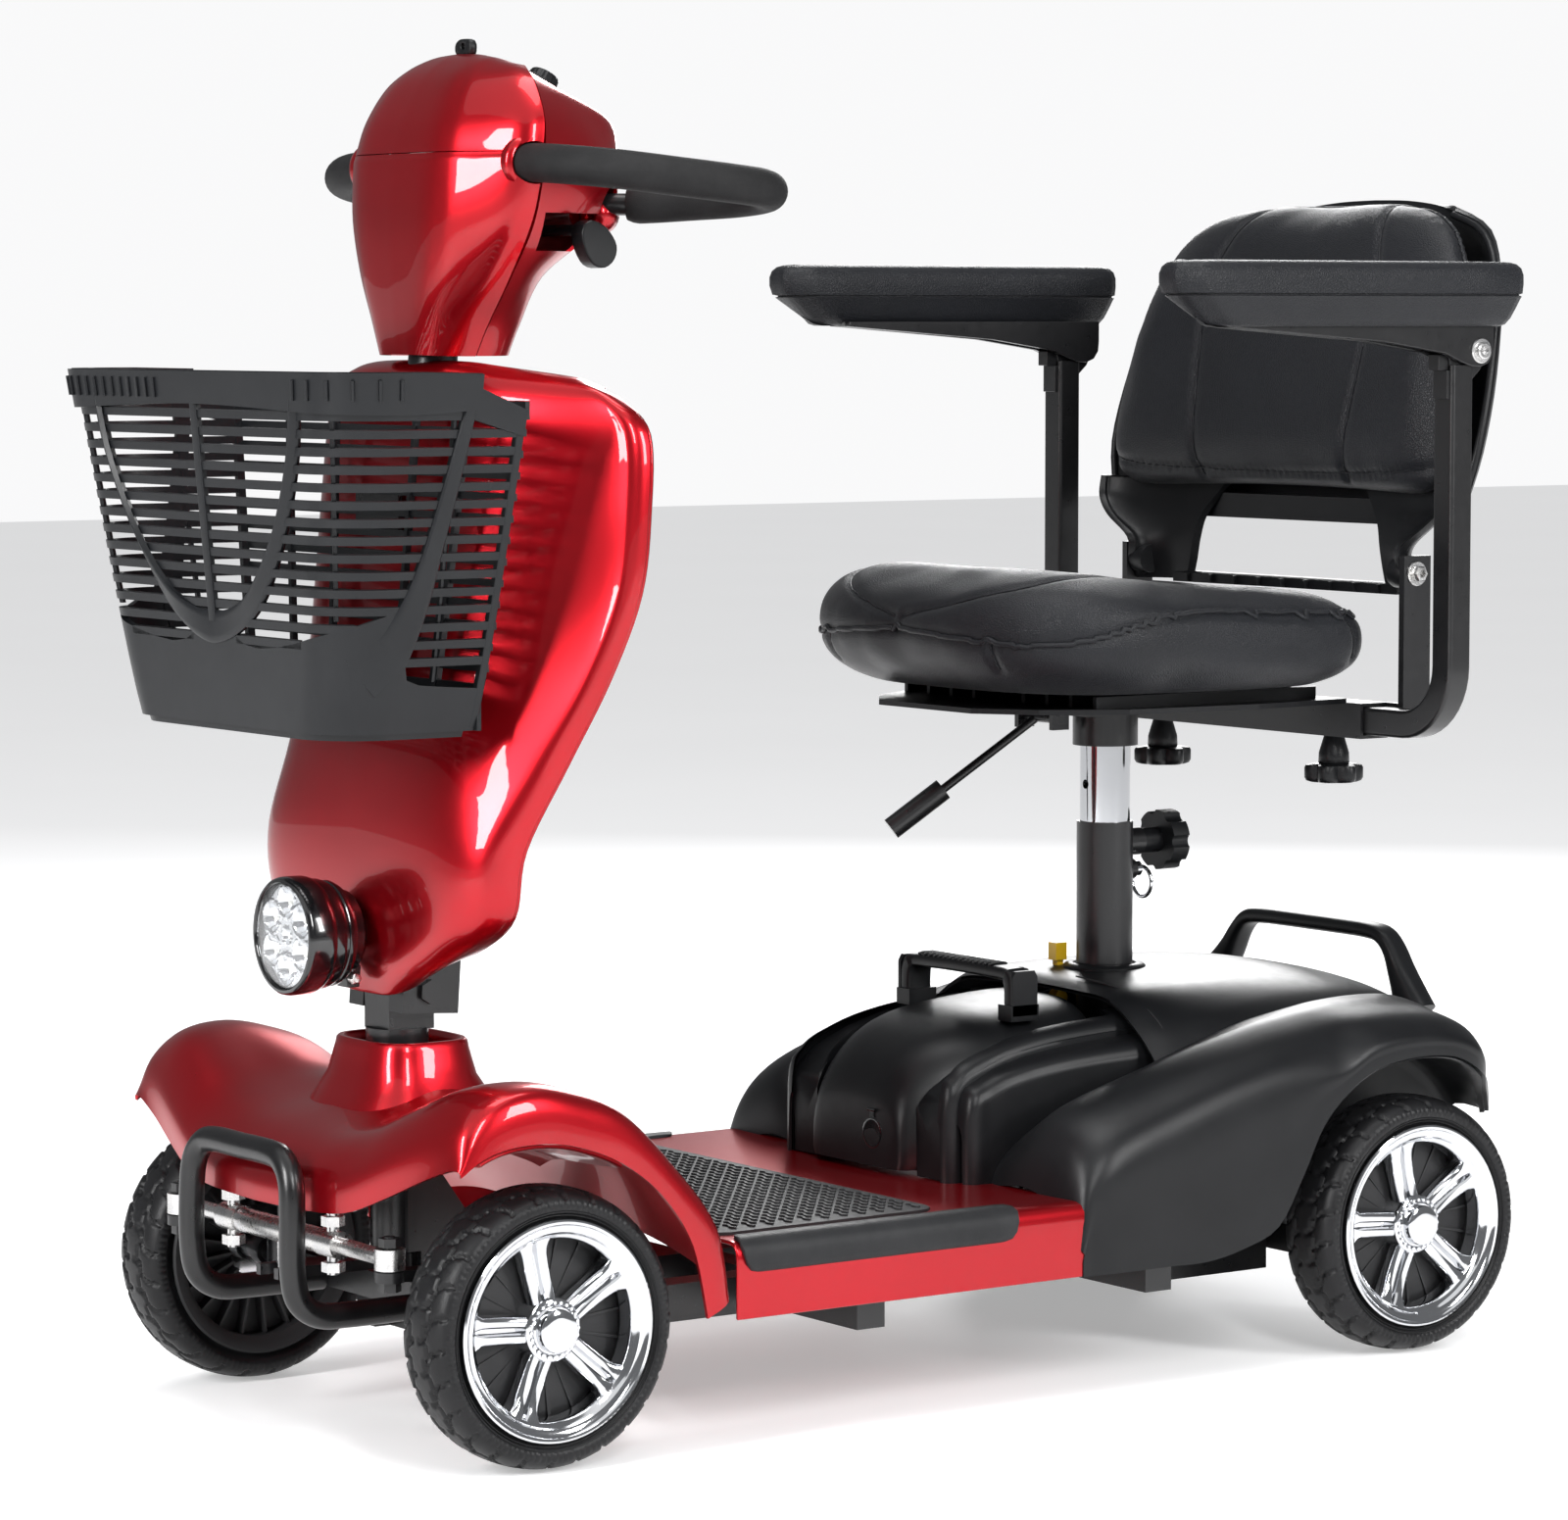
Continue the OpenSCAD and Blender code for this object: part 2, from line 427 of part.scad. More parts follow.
// head front: rows going up, from the middle to the side seam
hf_rows = [
    [[0, -384, 778], [22, -383, 778], [36, -376, 778], [42, -360, 778], [43, -348, 778]],
    [[0, -386, 800], [26, -385, 800], [44, -378, 800], [54, -361, 800], [56, -346, 800]],
    [[0, -388, 835], [34, -387, 835], [60, -380, 835], [80, -360, 835], [84, -344, 835]],
    [[0, -389, 875], [40, -387, 875], [72, -379, 875], [103, -357, 875], [108, -340, 875]],
    [[0, -387, 912], [40, -385, 912], [76, -377, 912], [112, -354, 912], [117, -337, 912]],
    [[0, -380, 945], [38, -378, 945], [72, -371, 945], [106, -350, 945], [112, -333, 945]],
    [[0, -366, 972], [34, -365, 972], [62, -360, 971], [90, -345, 969], [97, -330, 968]],
    [[0, -350, 986], [28, -349, 986], [50, -346, 984], [74, -337, 981], [80, -326, 979]],
    [[0, -334, 992], [22, -334, 991], [42, -332, 989], [60, -327, 985], [66, -320, 983]],
    [[0, -314, 989], [20, -314, 988], [36, -314, 986], [50, -314, 983], [58, -314, 980]]];
module head_front_shell() color([0.55, 0.02, 0.05]) {
    difference() {
        skin(crpath([for (r = hf_rows) full(crpath(r, 2))], 2), -3, true);
        both() translate([0, -342, 914]) xcyl(15, 80, 140, 32);
        translate([0, -327, 960]) cylinder(r = 6, h = 50, $fn = 32);
    }
}
hr_rows = [
    [[0, -310, 778], [22, -311, 778], [36, -318, 778], [42, -334, 778], [43, -347, 778]],
    [[0, -306, 800], [28, -307, 800], [46, -314, 800], [54, -330, 800], [56, -345, 800]],
    [[0, -296, 835], [36, -297, 835], [60, -303, 835], [78, -324, 835], [84, -343, 835]],
    [[0, -262, 866], [40, -262, 866], [70, -266, 866], [96, -300, 868], [107, -339, 872]],
    [[0, -246, 884], [40, -246, 884], [74, -249, 886], [98, -280, 900], [116, -336, 910]],
    [[0, -243, 912], [40, -243, 913], [74, -246, 914], [96, -280, 930], [111, -332, 944]],
    [[0, -244, 940], [40, -244, 940], [70, -248, 942], [84, -284, 956], [96, -329, 967]],
    [[0, -262, 954], [38, -262, 954], [64, -266, 954], [72, -290, 966], [79, -325, 978]],
    [[0, -300, 977], [34, -300, 976], [54, -302, 974], [60, -306, 974], [63, -311, 976]]];
module head_rear_shell() color([0.55, 0.02, 0.05]) {
    difference() {
        skin(crpath([for (r = hr_rows) full(crpath(r, 2))], 2), 2.5, false);
        both() translate([0, -262, 886]) xcyl(15, 50, 130, 32);
        both() rod([50, -288, 886], [118, -220, 886], 13);
        both() translate([0, -342, 914]) xcyl(15, 80, 140, 32);
        both() box([60, -329, 852], [130, -250, 879]);
        for (x = [-24, 24]) translate([x, -281, 969.5]) rotate([-31, 0, 0]) translate([0, 0, -12]) cylinder(r = 7, h = 20, $fn = 32);
    }
}
module console_panel() color([0.04, 0.04, 0.04]) translate([0, -281, 969.5]) rotate([-31, 0, 0]) difference() {
    box([-48, -22, -2.5], [48, 20, 1.5]);
    translate([24, 0, -5]) cylinder(r = 4.2, h = 12, $fn = 32);
    translate([-24, 0, -5]) cylinder(r = 5.3, h = 12, $fn = 32);
}
grip_path = crpath([[88, -342, 914], [112, -342, 914], [150, -338, 912], [190, -318, 908], [212, -284, 903], [216, -244, 899],
    [206, -208, 896], [182, -188, 893], [152, -192, 890], [124, -212, 888], [100, -238, 886], [80, -258, 886]], 4);
module handlebar_frame() color([0.2, 0.2, 0.2]) both()
    bar(concat([[0, -342, 914], [40, -342, 914], [70, -342, 914]], grip_path, [[60, -262, 886], [36, -268, 886]]), 8, 10);
module handlebar_grips() color([0.03, 0.03, 0.03]) both()
    pipe([for (i = [5:len(grip_path) - 6]) grip_path[i]], 14, 8.7, 12);
module headlight_housing() color([0.02, 0.02, 0.02]) translate([0, 0, 361]) difference() {
    union() { ycyl(43, -486, -462, 64); ycyl(40, -464, -440, 64); ycyl(31, -441, -428, 64); ycyl(14, -429, -424.2, 48); }
    ycyl(38, -490, -466, 64);
    ycyl(34, -470, -444, 64);
}
module headlight_reflectors() color([0.85, 0.85, 0.85]) translate([0, 0, 361]) {
    difference() {
        ycyl(37.6, -477, -467, 64);
        for (k = [0:5]) rotate([0, 60 * k, 0]) translate([24, 0, 0]) ycyl(10, -480, -471, 32);
        ycyl(10, -480, -471, 32);
    }
}
module headlight_lens() color([0.9, 0.95, 1, 0.4]) translate([0, 0, 361]) ycyl(37.7, -487.5, -482, 64);
module ignition_key() color([0.03, 0.03, 0.03]) {
    translate([0, -327, 0]) {
        translate([0, 0, 975]) cylinder(r = 3, h = 19, $fn = 24);
        translate([0, 0, 995.5]) difference() {
            box([-11, -3, -2], [11, 3, 10.5]);
            translate([0, 0, 6]) ycyl(2.5, -5, 5, 24);
        }
    }
}
module speed_knob() color([0.03, 0.03, 0.03]) translate([0, -281, 969.5]) rotate([-31, 0, 0]) translate([24, 0, 0]) {
    translate([0, 0, -6]) cylinder(r = 4, h = 9, $fn = 32);
    translate([0, 0, 2.2]) cylinder(r = 11, h = 11, $fn = 48);
    box([-1.5, 0, 13], [1.5, 11, 14.2]);
}
module horn_button() color([0.9, 0.5, 0.05]) translate([0, -281, 969.5]) rotate([-31, 0, 0]) translate([-24, 0, 0]) {
    translate([0, 0, -6]) cylinder(r = 5, h = 11.5, $fn = 32);
}
module throttle_lever() color([0.03, 0.03, 0.03]) {
    box([-112, -298, 863], [112, -286, 871]);
    both() box([98, -306, 842], [112, -276, 870]);
    translate([0, -292, 855]) cylinder(r = 9, h = 21, $fn = 32);
}

// ---------- basket ----------
function bk_w(z) = 150 + (207 - 150) * pow(max(z - 512, 0) / 253, 0.8);
function bk_ring(z, g) = let (w = bk_w(z) - g, yf = -556 + 24 * (765 - z) / 250 + g, yb = -402 - 15 * (765 - z) / 250 - g)
    [[-w + 4, yb], [-w, yb - 20], [-w, yf + 40], [-w + 16, yf + 14], [-w + 44, yf], [w - 44, yf], [w - 16, yf + 14], [w, yf + 40], [w, yb - 20], [w - 4, yb]];
module bk_slab(z0, z1, g0, g1) {
    A = bk_ring(z0, g0); B = bk_ring(z1, g1);
    loft([[for (p = A) [p[0], p[1], z0]], [for (p = B) [p[0], p[1], z1]]], true);
}
module basket() color([0.05, 0.05, 0.055]) {
    difference() {
        bk_slab(512, 768, 0, 0);
        bk_slab(516, 770, 4, 4);
        // slats: long windows in front and sides
        for (k = [0:10]) {
            z = 560 + 16 * k;
            box([-140, -580, z], [-8, -500, z + 9]);
            box([8, -580, z], [140, -500, z + 9]);
            box([-230, -508, z], [230, -424, z + 9]);
        }
    }
    // rim band
    difference() { bk_slab(744, 766, -4, -4.6); bk_slab(743, 767, 0.2, 0.2); }
}

// ---------- seat ----------
module seat_post() color([0.8, 0.8, 0.82]) difference() {
    translate([0, post_y, 230]) cylinder(r = post_r, h = 265.5, $fn = 64);
    translate([0, post_y, 225]) cylinder(r = 17.5, h = 266, $fn = 64);
    for (k = [0:4]) translate([0, post_y, 365 + 20 * k - 60]) ycyl(3.7, -30, 30, 24);
    translate([0, post_y, 435]) ycyl(3.7, -30, 30, 24);
}
module seat_frame() color([0.04, 0.04, 0.04]) {
    difference() {
        union() {
            translate([0, post_y, 466]) cylinder(r = 26, h = 31, $fn = 64);
            box([-85, post_y - 85, plate_z], [85, post_y + 85, plate_z + 5]);
            box([-52, 216, 479], [-47, 232, plate_z]);
            box([-7, 216, 479], [-2, 232, plate_z]);
        }
        translate([0, 224, 487]) xcyl(3.4 + run_clear, -60, 5, 32);
        translate([0, post_y, 450]) cylinder(r = 20, h = 45.8, $fn = 64);
    }
    // receiver for both armrest tubes
    difference() {
        box([-156, 399, 474], [156, 427, 502]);
        box([-160, 401.6, 476.6], [160, 424.4, 499.4]);
        both() translate([108, 413, 470]) cylinder(r = 4.3, h = 10, $fn = 32);
    }
    both() box([40, 340, plate_z], [60, 402, plate_z + 5]);
    // backrest ears
    difference() {
        both() { box([171, 424.5, 486], [177, 452, 618]); box([154, 424.5, 486], [172, 430, 502]); }
        translate([0, 437, 604]) xcyl(4.5 + run_clear, -200, 200, 32);
    }
}
sc_st = [[54, 58, 556, 578, 0], [60, 98, 546, 590, 0], [73, 131, 536, 600, 1], [93, 157, 527, 606, 3], [118, 175, 521, 608, 6], [152, 187, 517, 605, 9],
    [198, 193, 516, 599, 10], [260, 195, 516, 592, 10], [330, 194, 517, 588, 8], [385, 184, 520, 588, 4], [408, 160, 528, 584, 0], [416, 120, 540, 576, 0]];
function sc_ring(s) = [for (a = [0:15:345]) let (c = cos(a), d = sin(a), x = s[1] * pow(abs(c), 0.45) * sign(c), m = (s[2] + s[3]) / 2, h = (s[3] - s[2]) / 2)
    [x, s[0], m + h * pow(abs(d), 0.7) * sign(d) + (d > 0 ? s[4] * pow(x / s[1], 2) : 0)]];
module seat_cushion() color([0.03, 0.03, 0.03]) loft(crpath([for (s = sc_st) sc_ring(s)], 2), false);
module seat_pan() color([0.04, 0.04, 0.04]) {
    translate([0, 0, 501.3]) linear_extrude(4) polygon([[-60, 88], [60, 88], [104, 120], [140, 180], [150, 300], [140, 398], [-140, 398], [-150, 300], [-140, 180], [-104, 120]]);
    both() for (k = [0:3]) box([30 + 30 * k, 160, 505], [34 + 30 * k, 380, 514.5]);
}
module swivel_lever() color([0.04, 0.04, 0.04]) {
    rod([-34, 224, 487], [-78, 144, 418], 3.5);
    rod([-70, 158.5, 430.5], [-90, 122, 399], 9);
    translate([0, 224, 487]) xcyl(3.4, -52, -2, 24);
}
bs_rows = [
    [[0, 482, 655], [70, 481, 655], [140, 474, 655], [196, 462, 655], [214, 448, 655]],
    [[0, 492, 700], [80, 491, 700], [150, 484, 700], [208, 470, 700], [226, 455, 700]],
    [[0, 506, 760], [80, 505, 760], [150, 498, 760], [205, 486, 760], [223, 471, 760]],
    [[0, 523, 830], [80, 522, 830], [140, 516, 830], [190, 504, 830], [208, 490, 830]],
    [[0, 538, 875], [70, 537, 875], [120, 532, 875], [160, 522, 872], [174, 508, 870]],
    [[0, 546, 900], [40, 545, 899], [80, 541, 895], [112, 532, 889], [124, 520, 886]]];
module back_shell() color([0.04, 0.04, 0.04]) {
    skin(crpath([for (r = bs_rows) full(crpath(r, 2))], 2), 4, false);
    // lower frame round the cut-out and hinge legs
    both() {
        loft([[for (p = [[116, 458], [186, 444], [200, 452], [190, 466], [118, 476]]) [p[0], p[1], 652]],
            [for (p = [[118, 452], [166, 440], [170.5, 446], [170.5, 458], [126, 470]]) [p[0], p[1], 622]],
            [for (p = [[130, 446], [160, 434], [170.5, 436], [170.5, 450], [140, 462]]) [p[0], p[1], 586]]], false);
    }
    // lower bridge
    box([-140, 448, 586], [140, 458, 594]);
    // upper bridge behind the cushion
    box([-190, 462, 640], [190, 474, 660]);
    both() translate([0, 437, 604]) { xcyl(4.5, 150, 183, 32); xcyl(11, 156, 170.6, 48); xcyl(8, 178, 184, 6); }
}
bc_st = [[664, 186, 442, 472, 0], [672, 204, 436, 478, 2], [700, 216, 437, 484, 2], [740, 218, 444, 492, 2], [790, 212, 454, 503, 2],
    [840, 196, 466, 515, 2], [875, 168, 480, 524, 2], [893, 132, 494, 526, 2], [901, 84, 506, 524, 0]];
function bc_ring(s) = [for (a = [0:15:345]) let (c = cos(a), d = sin(a), x = s[1] * pow(abs(c), 0.5) * sign(c), m = (s[2] + s[3]) / 2, h = (s[3] - s[2]) / 2)
    [x, m + h * pow(abs(d), 0.7) * sign(d) - 22 * pow(x / 226, 2), s[0]]];
module back_cushion() color([0.03, 0.03, 0.03]) loft(crpath([for (s = bc_st) bc_ring(s)], 2), true);

module sq_tube_arm() {
    box([arm_x - 11, 402, 535], [arm_x + 11, 424, 762]);
    translate([arm_x - 47, 424, 535.1]) rotate([90, 0, 0]) rotate_extrude_quarter();
    box([62, 402, 477.1], [arm_x - 47, 424, 498.9]);
}
module rotate_extrude_quarter() {
    intersection() {
        difference() { cylinder(r = 58, h = 22, $fn = 96); translate([0, 0, -1]) cylinder(r = 36.2, h = 24, $fn = 96); }
        box([-0.5, -58, 0], [58, 0.5, 22]);
    }
}
module arm_tube_left() color([0.04, 0.04, 0.04]) {
    sq_tube_arm();
    difference() {
        union() {
            translate([0, 428, 779]) xcyl(12, arm_x - 8, arm_x + 8, 48);
            box([arm_x - 8, 402, 758], [arm_x + 8, 432, 780]);
        }
        translate([0, 428, 779]) xcyl(4 + run_clear, 200, 300, 32);
    }
    box([arm_x - 6, 392, 764], [arm_x + 6, 403, 776]);
}
module arm_tube_right() { mirror([1, 0, 0]) arm_tube_left(); }
pad_x0 = 229; pad_x1 = 275;
module arm_pad_left() color([0.03, 0.03, 0.03]) {
    hull() {
        for (x = [pad_x0 + 9, pad_x1 - 9]) {
            translate([x, 132, 838]) sphere(r = 9, $fn = 16);
            translate([x, 453, 838]) sphere(r = 9, $fn = 16);
            translate([x, 160, 806]) sphere(r = 9, $fn = 16);
            translate([x, 134, 822]) sphere(r = 9, $fn = 16);
            translate([x, 453, 808]) sphere(r = 9, $fn = 16);
        }
    }
    difference() {
        both_ears();
        translate([0, 428, 779]) xcyl(4, 200, 300, 32);
    }
    translate([0, 428, 779]) xcyl(3.98, 231, 259, 32);
    translate([0, 428, 779]) xcyl(8, 258, 263, 6);
}
module both_ears() {
    for (x = [arm_x - 14, arm_x + 8.4]) {
        translate([0, 428, 779]) xcyl(12, x, x + 5.6, 48);
        box([x, 350, 790], [x + 5.6, 440, 800]);
        translate([x, 0, 0]) rotate([90, 0, 90]) linear_extrude(5.6) polygon([[340, 800], [416, 776], [440, 779], [440, 800]]);
    }
}
module arm_pad_right() { mirror([1, 0, 0]) arm_pad_left(); }
module arm_knob_left() color([0.03, 0.03, 0.03]) translate([108, 413, 0]) {
    fluted_knob(24, 436, 15);
    translate([0, 0, 450]) cylinder(r = 9, h = 12, $fn = 32);
    translate([0, 0, 455]) cylinder(r = 4, h = 22, $fn = 32);
}
module arm_knob_right() { mirror([1, 0, 0]) arm_knob_left(); }
module post_knob() color([0.03, 0.03, 0.03]) translate([0, post_y, 387]) rotate([-90, 0, 0]) {
    fluted_knob(24, 52, 16);
    translate([0, 0, 34.5]) cylinder(r = 10, h = 18, $fn = 32);
    translate([0, 0, 23]) cylinder(r = 5, h = 30, $fn = 32);
}
module ring_pin() color([0.75, 0.75, 0.77]) translate([0, post_y, 365]) {
    ycyl(3.5, 20.8, 36, 32);
    ycyl(6, 28.6, 34, 32);
    translate([0, 38, -11]) rotate([90, 0, 0]) rotate_extrude($fn = 48) translate([12, 0]) circle(r = 1.6, $fn = 16);
}
module freewheel_lever() color([0.95, 0.75, 0.05]) {
    translate([0, 246, 262]) xcyl(6, -38, -28, 32);
    box([-36, 243, 262], [-30, 249, 296]);
    box([-38, 240, 292], [-28, 251, 306]);
}

chassis_frame();
front_axle_beam();
bumper();
front_cover();
deck_shell();
deck_mat();
deck_strips();
rear_cover();
rear_grab_handle();
transaxle();
controller();
seat_post_tube();
battery_case();
battery_handle();
battery_cells();
charge_cap();
knuckle_left();
knuckle_right();
tie_rod();
front_tyre_left();
front_rim_left();
front_tyre_right();
front_rim_right();
rear_tyre_left();
rear_rim_left();
rear_tyre_right();
rear_rim_right();
steering_column();
mast();
tiller_cover();
tiller_back_cover();
head_front_shell();
head_rear_shell();
console_panel();
handlebar_frame();
handlebar_grips();
headlight_housing();
headlight_reflectors();
headlight_lens();
ignition_key();
speed_knob();
horn_button();
throttle_lever();
basket();
seat_post();
seat_frame();
seat_pan();
seat_cushion();
swivel_lever();
back_shell();
back_cushion();
arm_tube_left();
arm_tube_right();
arm_pad_left();
arm_pad_right();
arm_knob_left();
arm_knob_right();
post_knob();
ring_pin();
freewheel_lever();
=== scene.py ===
import bpy, bmesh, math
import numpy as np
from mathutils import Vector, Matrix


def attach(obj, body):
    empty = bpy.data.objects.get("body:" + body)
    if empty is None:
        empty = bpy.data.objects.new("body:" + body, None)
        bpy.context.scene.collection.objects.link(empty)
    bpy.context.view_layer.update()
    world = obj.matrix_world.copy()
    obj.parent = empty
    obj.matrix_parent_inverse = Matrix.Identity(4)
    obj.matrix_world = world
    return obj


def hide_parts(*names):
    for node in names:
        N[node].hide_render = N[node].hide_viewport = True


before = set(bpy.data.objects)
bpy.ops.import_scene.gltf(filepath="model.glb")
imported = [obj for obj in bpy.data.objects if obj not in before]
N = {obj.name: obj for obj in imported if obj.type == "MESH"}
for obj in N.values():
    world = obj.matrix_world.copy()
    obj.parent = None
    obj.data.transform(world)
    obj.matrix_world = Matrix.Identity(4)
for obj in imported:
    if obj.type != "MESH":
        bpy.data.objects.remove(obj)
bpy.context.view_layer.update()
MM = 0.001


# ---------------------------------------------------------------- camera, lights, stage
def make_camera():
    a, p, f = math.radians(54.98), math.radians(4.62), 5604.74
    cam = bpy.data.cameras.new("camera"); ob = bpy.data.objects.new("camera", cam)
    bpy.context.scene.collection.objects.link(ob)
    d = Vector((-math.sin(a), math.cos(a), 0))
    fw = d * math.cos(p) - Vector((0, 0, 1)) * math.sin(p)
    right = Vector((math.cos(a), math.sin(a), 0)); up = right.cross(fw)
    m = Matrix((right, up, -fw)).transposed().to_4x4()
    m.translation = Vector((3.42182, -2.44287, 0.80548)); ob.matrix_world = m
    cam.sensor_fit = "HORIZONTAL"; cam.sensor_width = 36.0; cam.lens = f / 1600 * 36.0
    cam.clip_start, cam.clip_end = 0.1, 60
    bpy.context.scene.camera = ob


make_camera()


def area_light(name, loc, target, size, power, color=(1, 1, 1)):
    l = bpy.data.lights.new(name, "AREA"); l.shape = "RECTANGLE"
    l.size, l.size_y = size; l.energy = power; l.color = color
    ob = bpy.data.objects.new(name, l); bpy.context.scene.collection.objects.link(ob)
    ob.location = loc
    ob.rotation_euler = (Vector(target) - Vector(loc)).to_track_quat("-Z", "Y").to_euler()
    return ob


# ---------------------------------------------------------------- curves and surfaces
def cr(a, b, c, d, t):
    return 0.5 * (2 * b + (c - a) * t + (2 * a - 5 * b + 4 * c - d) * t * t + (3 * b - a - 3 * c + d) * t ** 3)


def crpath(P, n):
    P = [np.asarray(p, float) for p in P]; out = []
    for i in range(len(P) - 1):
        a, b, c, d = P[max(i - 1, 0)], P[i], P[i + 1], P[min(i + 2, len(P) - 1)]
        for k in range(n): out.append(cr(a, b, c, d, k / n))
    out.append(P[-1])
    return np.array(out)


def full(row):
    row = np.asarray(row, float)
    left = row[:0:-1].copy(); left[:, 0] *= -1
    return np.vstack([left, row])


def dense(rows, nv, nu, mirror=True):
    """control rows -> smooth grid; rows run middle to side when mirror is set"""
    R = [full(crpath(r, nu)) if mirror else crpath(r, nu) for r in rows]
    R = np.array(R)
    return np.array(crpath(list(R), nv))


def grid_normals(G):
    a = np.gradient(G, axis=0); b = np.gradient(G, axis=1)
    n = np.cross(a, b); l = np.linalg.norm(n, axis=2, keepdims=True)
    return n / np.maximum(l, 1e-9)


def frames(P, up=(0, 0, 1)):
    P = np.asarray(P, float); T = np.gradient(P, axis=0); T /= np.maximum(np.linalg.norm(T, axis=1, keepdims=True), 1e-9)
    up = np.asarray(up, float); s = np.cross(T[0], up)
    if np.linalg.norm(s) < 1e-3: s = np.cross(T[0], (0.3, 1, 0.1))
    s /= np.linalg.norm(s); S = [s]
    for i in range(1, len(P)):
        s = S[-1] - T[i] * np.dot(S[-1], T[i]); s /= max(np.linalg.norm(s), 1e-9); S.append(s)
    S = np.array(S)
    return T, S, np.cross(S, T)


class MB:
    """collects closed solids, in millimetres"""
    def __init__(s): s.v, s.f, s.mi, s.n = [], [], [], 0

    def add(s, V, F, m=0, both=False):
        V = np.asarray(V, float).reshape(-1, 3)
        for mirror in ((False, True) if both else (False,)):
            W = V.copy()
            if mirror: W[:, 0] *= -1
            s.v.append(W); s.f += [tuple(i + s.n for i in f) for f in F]; s.mi += [m] * len(F); s.n += len(W)
        return s

    def skin(s, G, th, m=0, both=False):
        """thin closed shell; th may be an array over the grid"""
        G = np.asarray(G, float); ni, nj = G.shape[:2]; nrm = grid_normals(G)
        I = G - nrm * (np.asarray(th)[..., None] if np.ndim(th) else th)
        V = np.vstack([G.reshape(-1, 3), I.reshape(-1, 3)]); k = ni * nj; F = []
        for i in range(ni - 1):
            for j in range(nj - 1):
                a, b, c, d = i * nj + j, i * nj + j + 1, (i + 1) * nj + j + 1, (i + 1) * nj + j
                F += [(a, b, c, d), (k + a, k + d, k + c, k + b)]
        for j in range(nj - 1):
            F.append((j, k + j, k + j + 1, j + 1)); o = (ni - 1) * nj
            F.append((o + j, o + j + 1, k + o + j + 1, k + o + j))
        for i in range(ni - 1):
            a, b = i * nj, (i + 1) * nj
            F.append((a, b, k + b, k + a)); a, b = a + nj - 1, b + nj - 1
            F.append((a, k + a, k + b, b))
        return s.add(V, F, m, both)

    def loft(s, R, m=0, both=False, closed=False):
        """closed rings joined; ends capped with fans unless closed into a ring"""
        R = np.asarray(R, float); ni, nj = R.shape[:2]; F = []
        for i in range(ni if closed else ni - 1):
            for j in range(nj):
                a, b = i * nj + j, i * nj + (j + 1) % nj; i2 = (i + 1) % ni
                F.append((a, b, i2 * nj + (j + 1) % nj, i2 * nj + j))
        V = R.reshape(-1, 3)
        if not closed:
            V = np.vstack([V, R[0].mean(0), R[-1].mean(0)]); k = ni * nj
            for j in range(nj):
                F.append((k, (j + 1) % nj, j)); F.append((k + 1, (ni - 1) * nj + j, (ni - 1) * nj + (j + 1) % nj))
        return s.add(V, F, m, both)

    def tube(s, P, r, n=20, m=0, both=False, up=(0, 0, 1), closed=False, flat=1.0):
        P = np.asarray(P, float)
        T, S, U = frames(np.vstack([P, P[:1]]) if closed else P, up)
        r = np.broadcast_to(np.asarray(r, float), (len(P),)); R = []
        for i in range(len(P)):
            a = np.linspace(0, 2 * np.pi, n, endpoint=False)
            R.append(P[i] + r[i] * (np.cos(a)[:, None] * S[i] + flat * np.sin(a)[:, None] * U[i]))
        return s.loft(R, m, both, closed)

    def sweep(s, P, prof, m=0, both=False, up=(0, 0, 1), closed=False):
        """prof: closed outline of (side, up) offsets, or a function of the index"""
        P = np.asarray(P, float); T, S, U = frames(np.vstack([P, P[:1]]) if closed else P, up); R = []
        for i in range(len(P)):
            q = np.asarray(prof(i) if callable(prof) else prof, float)
            R.append(P[i] + q[:, :1] * S[i] + q[:, 1:2] * U[i])
        return s.loft(R, m, both, closed)

    def lathe(s, prof, axis="z", n=64, at=(0, 0, 0), m=0, both=False, mat3=None):
        """prof: closed outline of (radius, height); a ring if it stays off the axis"""
        prof = np.asarray(prof, float); a = np.linspace(0, 2 * np.pi, n, endpoint=False); R = []
        for t in a:
            c, d = math.cos(t), math.sin(t); r, h = prof[:, 0], prof[:, 1]
            p = {"z": np.c_[r * c, r * d, h], "x": np.c_[h, r * c, r * d], "y": np.c_[r * d, h, r * c]}[axis]
            R.append(p)
        R = np.array(R)
        if mat3 is not None: R = R @ np.asarray(mat3, float).T
        R = R + np.asarray(at, float)
        on = [i for i in range(len(prof)) if abs(prof[i, 0]) < 1e-6]
        if not on: return s.loft(R, m, both, closed=True)
        # solid of revolution: the outline starts and ends on the axis
        V = [R[0][0], R[0][-1]]; k = len(prof) - 2; body = R[:, 1:-1].reshape(-1, 3); F = []
        V = np.vstack([V, body])
        for i in range(n):
            i2 = (i + 1) % n
            F.append((0, 2 + i * k, 2 + i2 * k)); F.append((1, 2 + i2 * k + k - 1, 2 + i * k + k - 1))
            for j in range(k - 1): F.append((2 + i * k + j, 2 + i * k + j + 1, 2 + i2 * k + j + 1, 2 + i2 * k + j))
        return s.add(V, F, m, both)

    def prism(s, poly, lo, hi, axis="z", m=0, both=False, taper=0.0):
        q = np.asarray(poly, float); c = q.mean(0); q2 = c + (q - c) * (1 - taper)
        def P(w, h):
            z = np.full((len(w), 1), h)
            return np.hstack({"z": (w, z), "x": (z, w), "y": (w[:, :1], z, w[:, 1:])}[axis])
        n = len(q); V = np.vstack([P(q, lo), P(q2, hi)])
        F = [tuple(range(n - 1, -1, -1)), tuple(range(n, 2 * n))] + [(i, (i + 1) % n, n + (i + 1) % n, n + i) for i in range(n)]
        return s.add(V, F, m, both)

